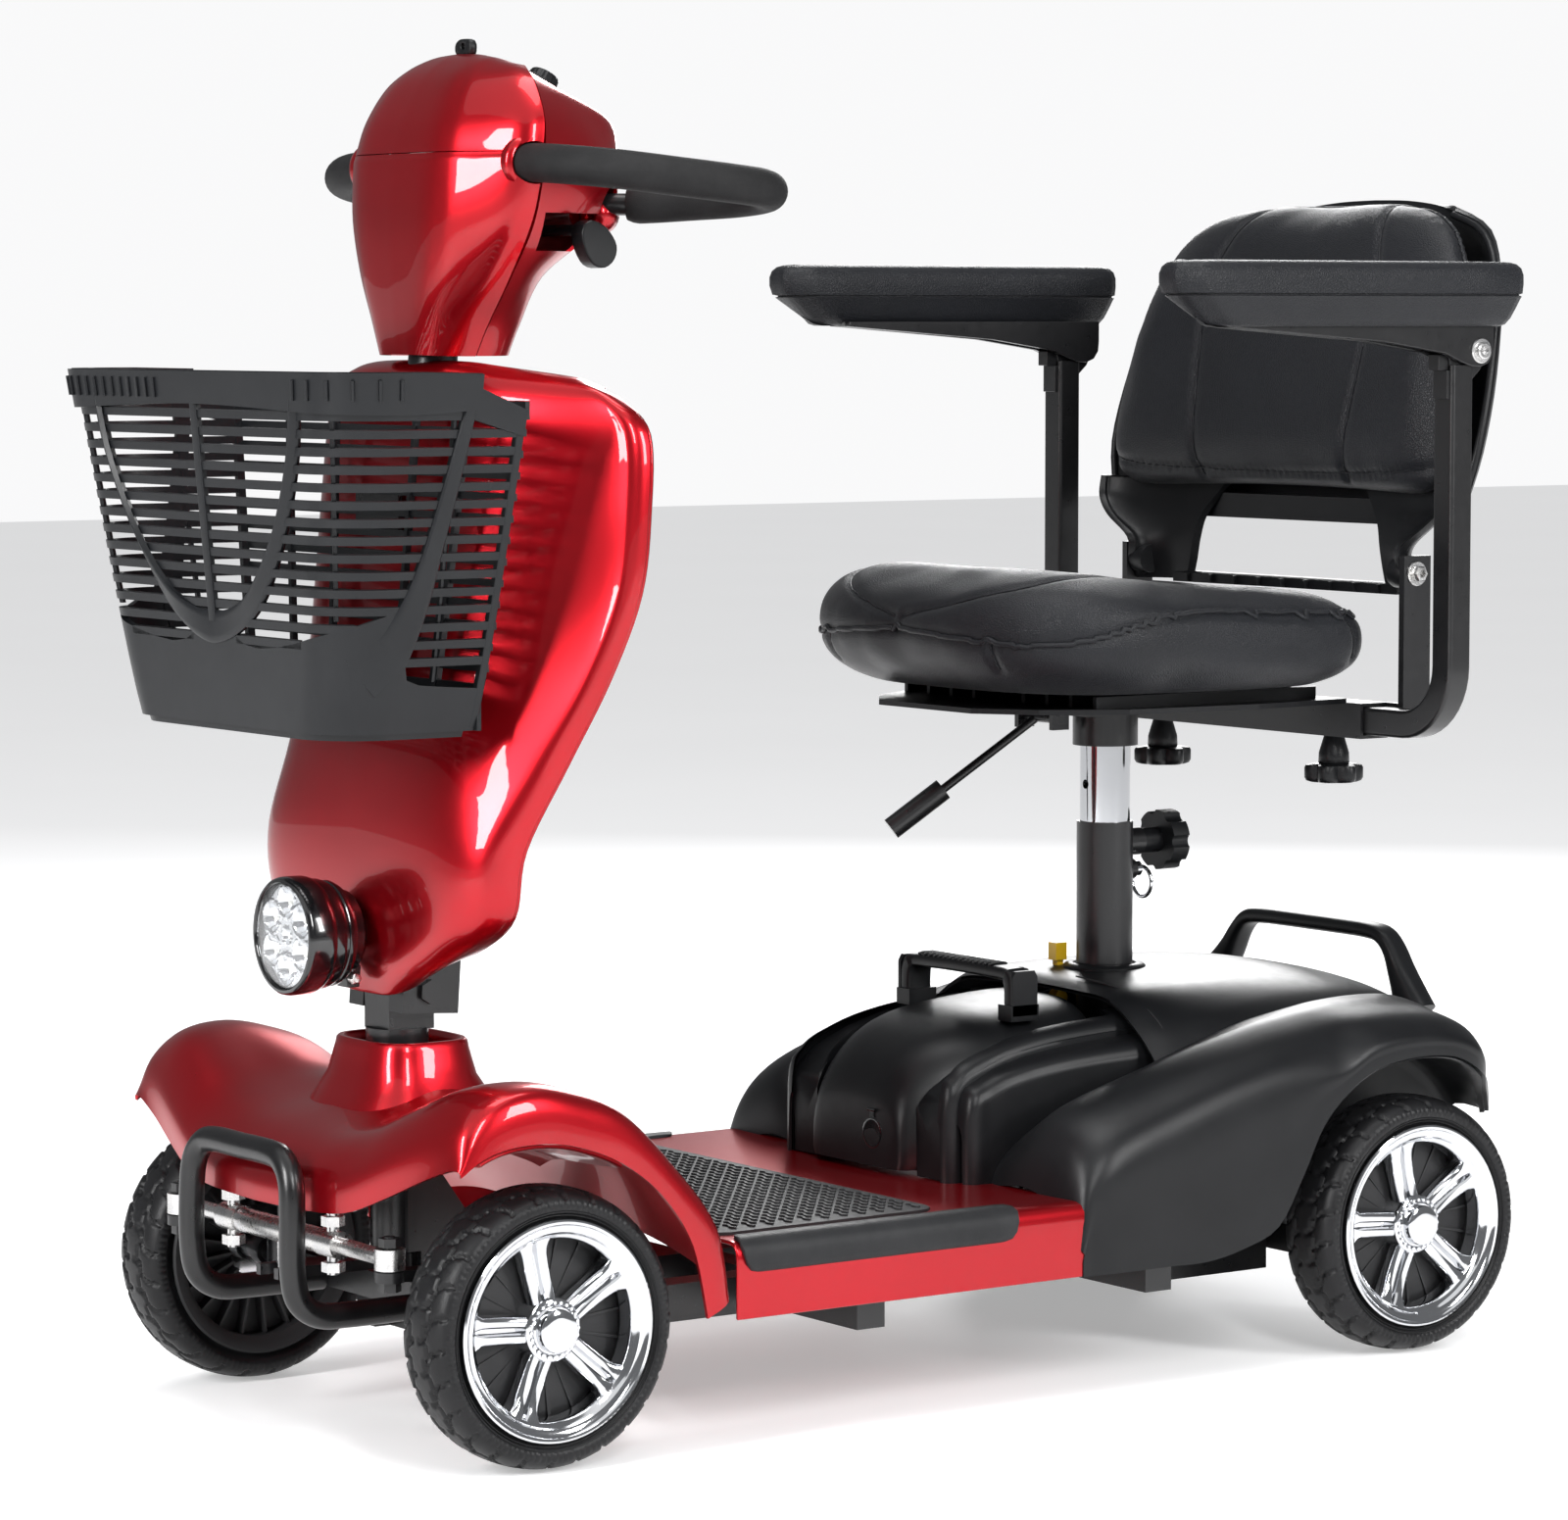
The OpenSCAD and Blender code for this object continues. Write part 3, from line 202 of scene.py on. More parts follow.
    def box(s, a, b, m=0, both=False):
        return s.prism([[a[0], a[1]], [b[0], a[1]], [b[0], b[1]], [a[0], b[1]]], a[2], b[2], "z", m, both)

    def make(s, name, mats, body=None, rep=(), bevel=0.0, seg=2, sharp=38, subsurf=0, weld=False):
        me = bpy.data.meshes.new(name)
        me.from_pydata((np.vstack(s.v) * MM).tolist(), [], s.f)
        mats = mats if isinstance(mats, (list, tuple)) else [mats]
        for q in mats: me.materials.append(q)
        me.polygons.foreach_set("material_index", s.mi)
        bm = bmesh.new(); bm.from_mesh(me)
        if weld: bmesh.ops.remove_doubles(bm, verts=bm.verts, dist=1e-6)
        bmesh.ops.recalc_face_normals(bm, faces=bm.faces)
        bm.to_mesh(me); bm.free()
        ob = bpy.data.objects.new(name, me); bpy.context.scene.collection.objects.link(ob)
        finish_obj(ob, bevel, seg, sharp, subsurf)
        place(ob, body, rep)
        return ob


def finish_obj(ob, bevel=0.0, seg=2, sharp=38, subsurf=0):
    me = ob.data
    me.polygons.foreach_set("use_smooth", [True] * len(me.polygons))
    if subsurf:
        q = ob.modifiers.new("sub", "SUBSURF"); q.levels = q.render_levels = subsurf
    if bevel:
        b = ob.modifiers.new("bevel", "BEVEL"); b.width = bevel * MM; b.segments = seg
        b.limit_method = "ANGLE"; b.angle_limit = math.radians(32); b.use_clamp_overlap = True
        w = ob.modifiers.new("wn", "WEIGHTED_NORMAL"); w.keep_sharp = True
    else:
        me.set_sharp_from_angle(angle=math.radians(sharp))


def place(ob, body, rep=()):
    if body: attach(ob, body)
    if rep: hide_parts(*rep)


# ---------------------------------------------------------------- materials
def material(name, color, rough, metal=0.0, color2=None, var_scale=14.0, rough_var=0.06, bump=0.0, bump_scale=900.0,
             bump_kind="noise", bump_dist=0.0004, coat=0.0, coat_rough=0.03, sheen=0.0, ior=1.5, spec=0.5, trans=0.0,
             emit=None, aniso=0.0, painted_edge_highlight=None):
    mt = bpy.data.materials.new(name); mt.use_nodes = True; nt = mt.node_tree; nt.nodes.clear()
    new = nt.nodes.new; L = nt.links.new
    out = new("ShaderNodeOutputMaterial"); b = new("ShaderNodeBsdfPrincipled"); L(b.outputs[0], out.inputs[0])
    I = b.inputs
    I["Metallic"].default_value = metal; I["IOR"].default_value = ior
    I["Specular IOR Level"].default_value = spec; I["Coat Weight"].default_value = coat
    I["Coat Roughness"].default_value = coat_rough; I["Sheen Weight"].default_value = sheen
    I["Transmission Weight"].default_value = trans; I["Anisotropic"].default_value = aniso
    if emit: I["Emission Color"].default_value = (*emit[:3], 1); I["Emission Strength"].default_value = emit[3]
    tc = new("ShaderNodeTexCoord")
    n1 = new("ShaderNodeTexNoise"); n1.inputs["Scale"].default_value = var_scale; n1.inputs["Detail"].default_value = 5
    L(tc.outputs["Object"], n1.inputs["Vector"])
    ramp = new("ShaderNodeValToRGB"); ramp.color_ramp.elements[0].position = 0.3; ramp.color_ramp.elements[1].position = 0.7
    c2 = color2 or tuple(min(1, c * 1.18 + 0.002) for c in color)
    ramp.color_ramp.elements[0].color = (*color, 1); ramp.color_ramp.elements[1].color = (*c2, 1)
    L(n1.outputs["Fac"], ramp.inputs["Fac"]); col = ramp.outputs["Color"]
    # painted edge highlight: convex edges, found by pointiness, get a lighter colour that stands in for the highlights
    # along the edges
    if painted_edge_highlight:
        geo = new("ShaderNodeNewGeometry"); r2 = new("ShaderNodeValToRGB")
        r2.color_ramp.elements[0].position = 0.52; r2.color_ramp.elements[1].position = 0.62
        L(geo.outputs["Pointiness"], r2.inputs["Fac"])
        mx = new("ShaderNodeMix"); mx.data_type = "RGBA"; L(r2.outputs["Color"], mx.inputs["Factor"])
        L(col, mx.inputs[6]); mx.inputs[7].default_value = (*painted_edge_highlight, 1); col = mx.outputs[2]
    L(col, I["Base Color"])
    n2 = new("ShaderNodeTexNoise"); n2.inputs["Scale"].default_value = var_scale * 5; n2.inputs["Detail"].default_value = 4
    L(tc.outputs["Object"], n2.inputs["Vector"])
    mr = new("ShaderNodeMapRange"); mr.inputs["To Min"].default_value = max(rough - rough_var, 0.01)
    mr.inputs["To Max"].default_value = min(rough + rough_var, 1)
    L(n2.outputs["Fac"], mr.inputs["Value"]); L(mr.outputs["Result"], I["Roughness"])
    if bump:
        if bump_kind == "leather":
            t = new("ShaderNodeTexVoronoi"); t.feature = "DISTANCE_TO_EDGE"; t.inputs["Scale"].default_value = bump_scale
            L(tc.outputs["Object"], t.inputs["Vector"])
            cl = new("ShaderNodeMapRange"); cl.inputs["From Max"].default_value = 0.25
            L(t.outputs["Distance"], cl.inputs["Value"]); h = cl.outputs["Result"]
        elif bump_kind == "wave":
            t = new("ShaderNodeTexWave"); t.inputs["Scale"].default_value = bump_scale
            L(tc.outputs["Object"], t.inputs["Vector"]); h = t.outputs["Fac"]
        else:
            t = new("ShaderNodeTexNoise"); t.inputs["Scale"].default_value = bump_scale; t.inputs["Detail"].default_value = 3
            L(tc.outputs["Object"], t.inputs["Vector"]); h = t.outputs["Fac"]
        bp = new("ShaderNodeBump"); bp.inputs["Strength"].default_value = bump; bp.inputs["Distance"].default_value = bump_dist
        L(h, bp.inputs["Height"]); L(bp.outputs["Normal"], I["Normal"])
    return mt


M = {}
M["red"] = material("candy_red", (0.36, 0.0012, 0.006), 0.29, metal=0.82, color2=(0.42, 0.002, 0.009), var_scale=6, rough_var=0.03,
                    bump=0.10, bump_scale=2600, bump_dist=0.0002, coat=0.5, coat_rough=0.02)
M["plastic"] = material("black_plastic", (0.0045, 0.0048, 0.0056), 0.36, var_scale=20, rough_var=0.05, bump=0.22, bump_scale=1500, bump_dist=0.0004, spec=0.25)
M["basket"] = material("basket_plastic", (0.0075, 0.0082, 0.0095), 0.34, var_scale=16, rough_var=0.06, bump=0.16, bump_scale=1300, bump_dist=0.0004, spec=0.25)
# the lighter edge colour of the powder coat is a painted edge highlight
M["frame"] = material("powder_coat", (0.004, 0.004, 0.0045), 0.30, var_scale=25, rough_var=0.07, bump=0.12, bump_scale=700, bump_dist=0.0004, painted_edge_highlight=(0.010, 0.010, 0.011))
M["tyre"] = material("tyre_rubber", (0.0055, 0.0055, 0.006), 0.42, color2=(0.010, 0.010, 0.011), var_scale=30, rough_var=0.12, bump=0.25, bump_scale=900, bump_dist=0.0005, spec=0.25)
M["mat"] = material("mat_rubber", (0.011, 0.0115, 0.0125), 0.50, color2=(0.018, 0.0185, 0.020), var_scale=40, rough_var=0.1, bump=0.3, bump_scale=800, bump_dist=0.0005, spec=0.25)
M["chrome"] = material("chrome", (0.60, 0.61, 0.63), 0.09, metal=1.0, color2=(0.68, 0.69, 0.71), var_scale=10, rough_var=0.03, bump=0.03, bump_scale=120, bump_dist=0.0004)
M["steel"] = material("zinc_steel", (0.55, 0.55, 0.56), 0.28, metal=1.0, color2=(0.68, 0.67, 0.65), var_scale=60, rough_var=0.08, bump=0.1, bump_scale=500)
M["alu"] = material("cast_aluminium", (0.38, 0.39, 0.41), 0.45, metal=1.0, var_scale=40, rough_var=0.08, bump=0.3, bump_scale=600)
M["leather"] = material("leatherette", (0.0042, 0.0048, 0.0066), 0.42, color2=(0.0065, 0.0073, 0.0098), var_scale=9, rough_var=0.07, bump=0.35, bump_scale=520,
                        bump_kind="leather", bump_dist=0.0005, sheen=0.05, spec=0.25)
M["thread"] = material("thread", (0.03, 0.03, 0.034), 0.6, var_scale=90, bump=0.4, bump_scale=2500)
M["foam"] = material("foam_grip", (0.006, 0.006, 0.0065), 0.66, color2=(0.010, 0.010, 0.0105), var_scale=60, rough_var=0.08, bump=0.5, bump_scale=1600, bump_dist=0.0006, spec=0.25)
M["gloss"] = material("gloss_black", (0.003, 0.003, 0.0035), 0.16, var_scale=20, rough_var=0.05, bump=0.03, bump_scale=300, coat=0.6)
M["reflector"] = material("reflector", (0.80, 0.82, 0.84), 0.12, metal=0.85, color2=(0.92, 0.93, 0.95), var_scale=30, rough_var=0.04, bump=0.05, bump_scale=400)
M["lens"] = material("clear_lens", (0.96, 0.97, 0.98), 0.05, var_scale=20, rough_var=0.02, trans=1.0, ior=1.46)
M["led"] = material("led", (0.9, 0.9, 0.82), 0.3, var_scale=50, emit=(1.0, 0.98, 0.92, 0.25))
M["yellow"] = material("yellow_plastic", (0.80, 0.50, 0.02), 0.32, var_scale=30, bump=0.05, bump_scale=800)
M["orange"] = material("orange_plastic", (0.80, 0.22, 0.02), 0.32, var_scale=30, bump=0.05, bump_scale=800)
M["green"] = material("green_lens", (0.02, 0.35, 0.10), 0.2, var_scale=30, coat=0.5)
M["dark"] = material("dark_inner", (0.008, 0.008, 0.009), 0.6, var_scale=20, bump=0.2, bump_scale=700)
M["dial"] = material("dial_print", (0.6, 0.6, 0.6), 0.4, var_scale=50)


def paint(node, key, bevel=0.6, sharp=None):
    """a carried CAD node gets its material and softened edges"""
    ob = N.get(node)
    if ob is None: return
    me = ob.data
    if not me.materials: me.materials.append(M[key])
    for i in range(len(ob.material_slots)):
        ob.material_slots[i].material = M[key]
    if bevel:
        b = ob.modifiers.new("bevel", "BEVEL"); b.width = bevel * MM; b.segments = 2
        b.limit_method = "ANGLE"; b.angle_limit = math.radians(40); b.use_clamp_overlap = True


# ================================================================ wheels
R_T, HT, AY_F, RT, AY_R = 100.0, 206.0, -400.0, 214.0, 393.0
TYRE_PROF = [(74.3, -22.5), (78, -22.8), (80.5, -23.6), (82.5, -25.4), (84.5, -27.2), (87, -28.3), (90, -28.2), (92.5, -27.0), (94.6, -25.0), (96.6, -21.8),
             (98.2, -17.5), (99.2, -12.5), (99.8, -6.5), (100, 0), (99.8, 6.5), (99.2, 12.5), (98.2, 17.5), (96.6, 21.8), (94.6, 25.0),
             (92.5, 27.0), (90, 28.2), (87, 28.3), (84.5, 27.2), (82.5, 25.4), (80.5, 23.6), (78, 22.8), (74.3, 22.5)]


def tyre_mesh(mb, sgn, c):
    prof = crpath([(r, x, 0) for r, x in TYRE_PROF], 3)[:, :2]; n = 400
    R = []
    pitch = 2 * math.pi * 100 / 26
    w = prof[:, 1]
    for k in range(n):
        t = 2 * math.pi * k / n; r = prof[:, 0].copy(); x = prof[:, 1].copy()
        s = t * 100
        # S-shaped cross grooves on both halves of the tread, staggered
        side = np.sign(w); aw = np.abs(w)
        g = 7.0 * np.tanh((aw - 13.0) / 3.0) + 3.0 * (aw / 13.0)
        d = (s + side * (g + pitch * 0.25) + pitch / 2) % pitch - pitch / 2
        groove = np.clip((2.3 - np.abs(d)) / 0.9, 0, 1) * np.clip((aw - 3.5) / 1.0, 0, 1) * np.clip((27.4 - aw) / 1.0, 0, 1) * (prof[:, 0] > 91)
        # long zigzag groove round the tyre
        zz = 10.5 + 2.2 * np.tanh(3 * math.sin(2 * math.pi * s / pitch))
        ring = np.clip((1.7 - np.abs(aw - zz)) / 0.8, 0, 1) * (prof[:, 0] > 96)
        dep = 2.6 * np.maximum(groove, 0.75 * ring)
        nx = np.clip(np.abs(w) / 28.0, 0, 1) ** 2 * side * (prof[:, 0] > 88)
        r = r - dep * (1 - 0.35 * np.abs(nx)); x = x - dep * 0.35 * nx
        # small shoulder lugs
        lug = (prof[:, 0] > 85.5) * (prof[:, 0] < 92.5) * (np.abs(w) > 26)
        x = x + lug * side * 0.45 * (1 if math.sin(s / 100 * 120) > 0.2 else -0.4)
        R.append(np.c_[c[0] + sgn * x, c[1] + r * math.cos(t), c[2] + r * math.sin(t)])
    mb.loft(R, 0, closed=True)
    # raised rings on the outer wall
    for rr, xx in ((84.0, 27.3), (81.6, 25.4)):
        P = [(c[0] + sgn * xx, c[1] + rr * math.cos(a), c[2] + rr * math.sin(a)) for a in np.linspace(0, 2 * np.pi, 120, endpoint=False)]
        mb.tube(P, 0.55, 8, closed=True, up=(1, 0, 0))


def rim_mesh(mb, sgn, c):
    """0 chrome, 1 black inner plastic"""
    def X(p): return np.c_[c[0] + sgn * p[:, 0], c[1] + p[:, 1], c[2] + p[:, 2]]
    def lathe(prof, m=0, n=144):
        prof = np.asarray(prof, float); R = []
        for t in np.linspace(0, 2 * np.pi, n, endpoint=False):
            R.append(X(np.c_[prof[:, 1], prof[:, 0] * math.cos(t), prof[:, 0] * math.sin(t)]))
        mb.loft(R, m, closed=True)
    # lip: bright outer roll, step, inner bowl
    lip = [(73.8, 22), (78.2, 24.2), (79.0, 26.0), (78.6, 27.8), (77.2, 28.6), (75.4, 28.2), (74.2, 26.6), (72.0, 25.6), (69.6, 25.2), (68.6, 24.0),
           (67.4, 22.6), (65.8, 21.8), (64.6, 20.4), (64.0, 17.0), (63.6, 8.0), (66.4, 4.0), (70.5, 3.0)]
    lathe(lip)
    lathe([(64.0, 8), (67, 8), (69.5, 3), (70, -22), (78.2, -24.4), (79, -26.5), (77.4, -28.2), (72, -27), (66.5, -22), (66, 2)], 1)
    # spokes: two bars with a groove between, flaring where they meet the lip
    for k in range(5):
        a = math.radians(104 + 72 * k); ca, sa = math.cos(a), math.sin(a)
        for side in (-1, 1):
            R = []
            for q in np.linspace(0, 1, 14):
                r = 13 + q * 53.5
                fl = max(q - 0.80, 0) / 0.20
                wo = 9.6 + 1.6 * q + 6.0 * fl ** 2; wi = 1.5 + 0.5 * q
                if q > 0.88: wi = wi * (1 - (q - 0.88) / 0.12) + 0.1
                zt = 20.2 - 3.2 * math.sin(math.pi * min(q * 1.1, 1)) * 0.8 + 1.6 * fl; zb = 8.5
                sec = [(wi, zb), (wo, zb), (wo + 0.2, zt - 4.5), (wo - 0.7, zt - 1.6), (wo - 2.4, zt - 0.2), ((wi + wo) / 2, zt + 0.25), (wi + 1.3, zt - 0.3), (wi + 0.1, zt - 1.8), (wi, zt - 4.5)]
                ring = []
                for u, h in sec:
                    uu = side * u
                    y, z = -uu * sa + r * ca, uu * ca + r * sa  # along and across the spoke
                    ring.append((h, y, z))
                R.append(X(np.array(ring)))
            mb.loft(R, 0)
        # web at the bottom of the groove
        R = []
        for q in np.linspace(0, 1, 8):
            r = 14 + q * 51; ring = []
            for u, h in ((-3.2, 9), (3.2, 9), (3.2, 12.6 + 2.5 * q), (-3.2, 12.6 + 2.5 * q)):
                ring.append((h, -u * sa + r * ca, u * ca + r * sa))
            R.append(X(np.array(ring)))
        mb.loft(R, 0)
    # hub: stepped, fluted ring, flat cap
    def solid(prof, m=0, n=72):
        prof = [(0, prof[0][1])] + list(prof) + [(0, prof[-1][1])]
        prof = np.asarray(prof, float); V = []; F = []; kk = len(prof) - 2
        V = [X(np.array([[prof[0][1], 0, 0]]))[0], X(np.array([[prof[-1][1], 0, 0]]))[0]]
        for i in range(n):
            t = 2 * math.pi * i / n
            for r, h in prof[1:-1]: V.append(X(np.array([[h, r * math.cos(t), r * math.sin(t)]]))[0])
        for i in range(n):
            j = (i + 1) % n
            F += [(0, 2 + i * kk, 2 + j * kk), (1, 2 + j * kk + kk - 1, 2 + i * kk + kk - 1)]
            for q in range(kk - 1): F.append((2 + i * kk + q, 2 + i * kk + q + 1, 2 + j * kk + q + 1, 2 + j * kk + q))
        mb.add(V, F, m)
    solid([(22.5, -12), (23.2, -10), (23.2, 17), (22.4, 19.6), (20.8, 20.8), (18.2, 21.2), (17.6, 22.6), (16.6, 23.4)], 0)
    for k in range(24):
        t = 2 * math.pi * k / 24; r = 19.4
        P = [(x, r * math.cos(t), r * math.sin(t)) for x in (19.0, 22.4)]
        mb.tube(X(np.array(P)), 1.35, 8, up=(0, 0.3, 1))
    solid([(15.4, 22), (15.6, 26.6), (15.0, 28.0), (13.6, 28.8), (8, 29.1)], 0)
    # black dish with ribs behind the spokes
    lathe([(22.8, -4), (66.3, -6), (66.3, 1.5), (60, 2.5), (22.8, 4)], 1, 72)
    for k in range(20):
        a = 2 * math.pi * k / 20 + 0.1
        R = []
        for r in (22, 66):
            ring = []
            for u, h in ((-1, -16), (1, -16), (1, 4), (-1, 4)): ring.append((h, -u * math.sin(a) + r * math.cos(a), u * math.cos(a) + r * math.sin(a)))
            R.append(X(np.array(ring)))
        mb.loft(R, 1)


def build_wheels():
    for nm, sg, x, y, body in (("front_left", 1, HT, AY_F, "front_wheel_left"), ("front_right", -1, -HT, AY_F, "front_wheel_right"),
                               ("rear_left", 1, RT, AY_R, "rear_wheel_left"), ("rear_right", -1, -RT, AY_R, "rear_wheel_right")):
        end, side = nm.split("_")
        t = MB(); tyre_mesh(t, sg, (x, y, 100)); t.make(nm + "_tyre_tread", M["tyre"], body, (end + "_tyre_" + side,), sharp=50)
        r = MB(); rim_mesh(r, sg, (x, y, 100)); r.make(nm + "_rim_spokes", [M["chrome"], M["dark"]], body, (end + "_rim_" + side,), sharp=34)


build_wheels()

# ================================================================ tiller shield
tc_rows = [
    [[0, -412, 316], [26, -412, 317], [46, -408, 324], [58, -401, 333], [64, -395, 341], [66, -387, 346]],
    [[0, -420, 345], [54, -419, 345], [88, -414, 348], [102, -405, 352], [108.5, -396, 355], [110, -386, 357]],
    [[0, -424, 380], [72, -423, 380], [116, -419, 380], [140, -409, 380], [148.5, -398, 381], [150, -385, 382]],
    [[0, -424, 430], [76, -423.5, 430], [122, -419, 430], [149, -407, 430], [157.5, -395, 430], [159, -381, 430]],
    [[0, -418, 490], [72, -416, 490], [116, -408, 490], [161, -378, 490], [170.5, -367, 490], [172, -354, 490]],
    [[0, -408, 550], [66, -406, 550], [110, -396, 550], [174, -350, 550], [185.5, -340, 550], [187, -328, 550]],
    [[0, -400, 610], [66, -398, 610], [112, -388, 610], [183, -331, 610], [196, -321, 610], [198, -309, 610]],
    [[0, -394, 670], [66, -392, 670], [112, -382, 670], [184, -326, 670], [199, -315, 670], [201, -303, 670]],
    [[0, -388, 725], [66, -386, 725], [112, -376, 725], [180, -324, 724], [195, -313, 723], [197, -301, 722]],
    [[0, -381, 758], [66, -379, 757], [106, -371, 754], [162, -331, 749], [176, -320, 746], [178, -309, 743]],
    [[0, -373, 768], [60, -371, 767], [96, -363, 764], [144, -333, 758], [156, -322, 754], [157, -311, 750]],
    [[0, -362, 771], [58, -360, 770], [92, -354, 767], [138, -326, 760], [147, -316, 756], [148, -305, 752]]]


def build_shield():
    mb = MB(); G = dense(tc_rows, 6, 5); mb.skin(G, 3.2)
    mb.make("tiller_shield", M["red"], "tiller", ("tiller_cover",), bevel=1.0, sharp=60)
    # rolled bead along the side edge
    for sg in (-1, 1):
        mb = MB(); E = G[:, -1].copy(); E[:, 0] *= sg; E[:, 1] += 1.0
        mb.tube(E[2:-2], 2.3, 12); mb.make("shield_bead_" + ("left" if sg > 0 else "right"), M["red"], "tiller", ())


build_shield()

# back cover of the mast
tb_rows = [
    [[0, -340, 344], [24, -342, 344], [40, -352, 344], [44, -372, 344]],
    [[0, -334, 420], [28, -336, 420], [46, -348, 420], [50, -372, 420]],
    [[0, -330, 520], [28, -332, 520], [46, -344, 520], [50, -366, 520]],
    [[0, -325, 640], [28, -327, 640], [46, -338, 640], [50, -360, 640]],
    [[0, -322, 740], [26, -324, 740], [42, -334, 740], [46, -354, 740]],
    [[0, -322, 764], [24, -324, 764], [38, -332, 764], [42, -348, 764]]]
mb = MB(); mb.skin(dense(tb_rows, 5, 5), 2.5)
for zz in (400, 470, 540, 610, 680): mb.tube([(-20, -333.2 + (zz - 400) * 0.035, zz), (0, -331.4 + (zz - 400) * 0.035, zz), (20, -333.2 + (zz - 400) * 0.035, zz)], 1.6, 8)
mb.make("mast_back_cover", M["plastic"], "tiller", ("tiller_back_cover",), bevel=0.8)

# ================================================================ head
hf_rows = [
    [[0, -384, 778], [22, -383, 778], [30, -380, 778], [36, -375, 778], [41, -362, 778], [43, -348, 778]],
    [[0, -386, 800], [26, -385, 800], [38, -381, 800], [45, -375, 800], [53, -361, 800], [56, -346, 800]],
    [[0, -388, 835], [34, -387, 835], [48, -384, 835], [62, -376, 835], [79, -359, 835], [84, -344, 835]],
    [[0, -389, 875], [40, -388, 875], [58, -384, 875], [72, -377, 875], [102, -355, 875], [108, -340, 875]],
    [[0, -387, 912], [42, -386, 912], [61, -382, 912], [76, -374, 912], [110, -352, 912], [117, -337, 912]],
    [[0, -385, 921], [42, -384, 921], [61, -380, 921], [76, -372, 921], [109, -350, 921], [116, -336, 921]],
    [[0, -378, 945], [40, -377, 945], [58, -373, 945], [72, -366, 945], [104, -346, 945], [112, -332, 945]],
    [[0, -364, 970], [34, -363, 970], [50, -360, 969], [62, -355, 969], [88, -340, 968], [97, -329, 967]],
    [[0, -349, 985], [28, -348, 984], [42, -346, 983], [52, -342, 982], [72, -333, 980], [80, -325, 978]],
    [[0, -333, 992], [22, -333, 991], [34, -332, 989], [43, -330, 988], [58, -325, 984], [66, -319, 982]],
    [[0, -313, 989.5], [20, -313, 988.5], [31, -313, 987], [38, -313, 985], [50, -313, 982], [58, -313, 979]]]
hr_rows = [
    [[0, -310, 778], [22, -311, 778], [36, -318, 778], [42, -334, 778], [43, -347.4, 778]],
    [[0, -306, 800], [28, -307, 800], [46, -314, 800], [54, -330, 800], [56, -345.4, 800]],
    [[0, -296, 835], [36, -297, 835], [60, -303, 835], [78, -324, 835], [84, -343.4, 835]],
    [[0, -266, 862], [40, -266, 862], [66, -270, 862], [92, -302, 864], [106, -339, 870]],
    [[0, -246, 884], [40, -246, 884], [72, -249, 885], [96, -280, 897], [115, -336, 908]],
    [[0, -243, 912], [40, -243, 913], [72, -246, 914], [94, -280, 928], [111, -332, 942]],
    [[0, -244, 940], [40, -244, 940], [69, -248, 942], [83, -284, 955], [96, -328.6, 966]],
    [[0, -260, 953], [38, -260, 953], [64, -264, 953], [72, -290, 964], [80, -324.6, 977]],
    [[0, -300, 977], [34, -300, 976], [54, -301, 974], [60, -306, 974], [64, -312.6, 977]]]


def hole_mesh(ob, cutters):
    """cuts holes in a finished piece and keeps the result as its mesh"""
    for c in cutters:
        q = ob.modifiers.new("cut", "BOOLEAN"); q.operation = "DIFFERENCE"; q.solver = "EXACT"; q.object = c
    bpy.context.view_layer.update()
    dg = bpy.context.evaluated_depsgraph_get()
    me = bpy.data.meshes.new_from_object(ob.evaluated_get(dg)); ob.modifiers.clear(); old = ob.data; ob.data = me
    bpy.data.meshes.remove(old)
    for c in cutters: bpy.data.objects.remove(c)
    me.polygons.foreach_set("use_smooth", [True] * len(me.polygons)); me.set_sharp_from_angle(angle=math.radians(38))


def cutter(P, r, n=40):
    mb = MB(); mb.tube(P, r, n, up=(0, 0.2, 1)); return mb.make("cutter", M["dark"])


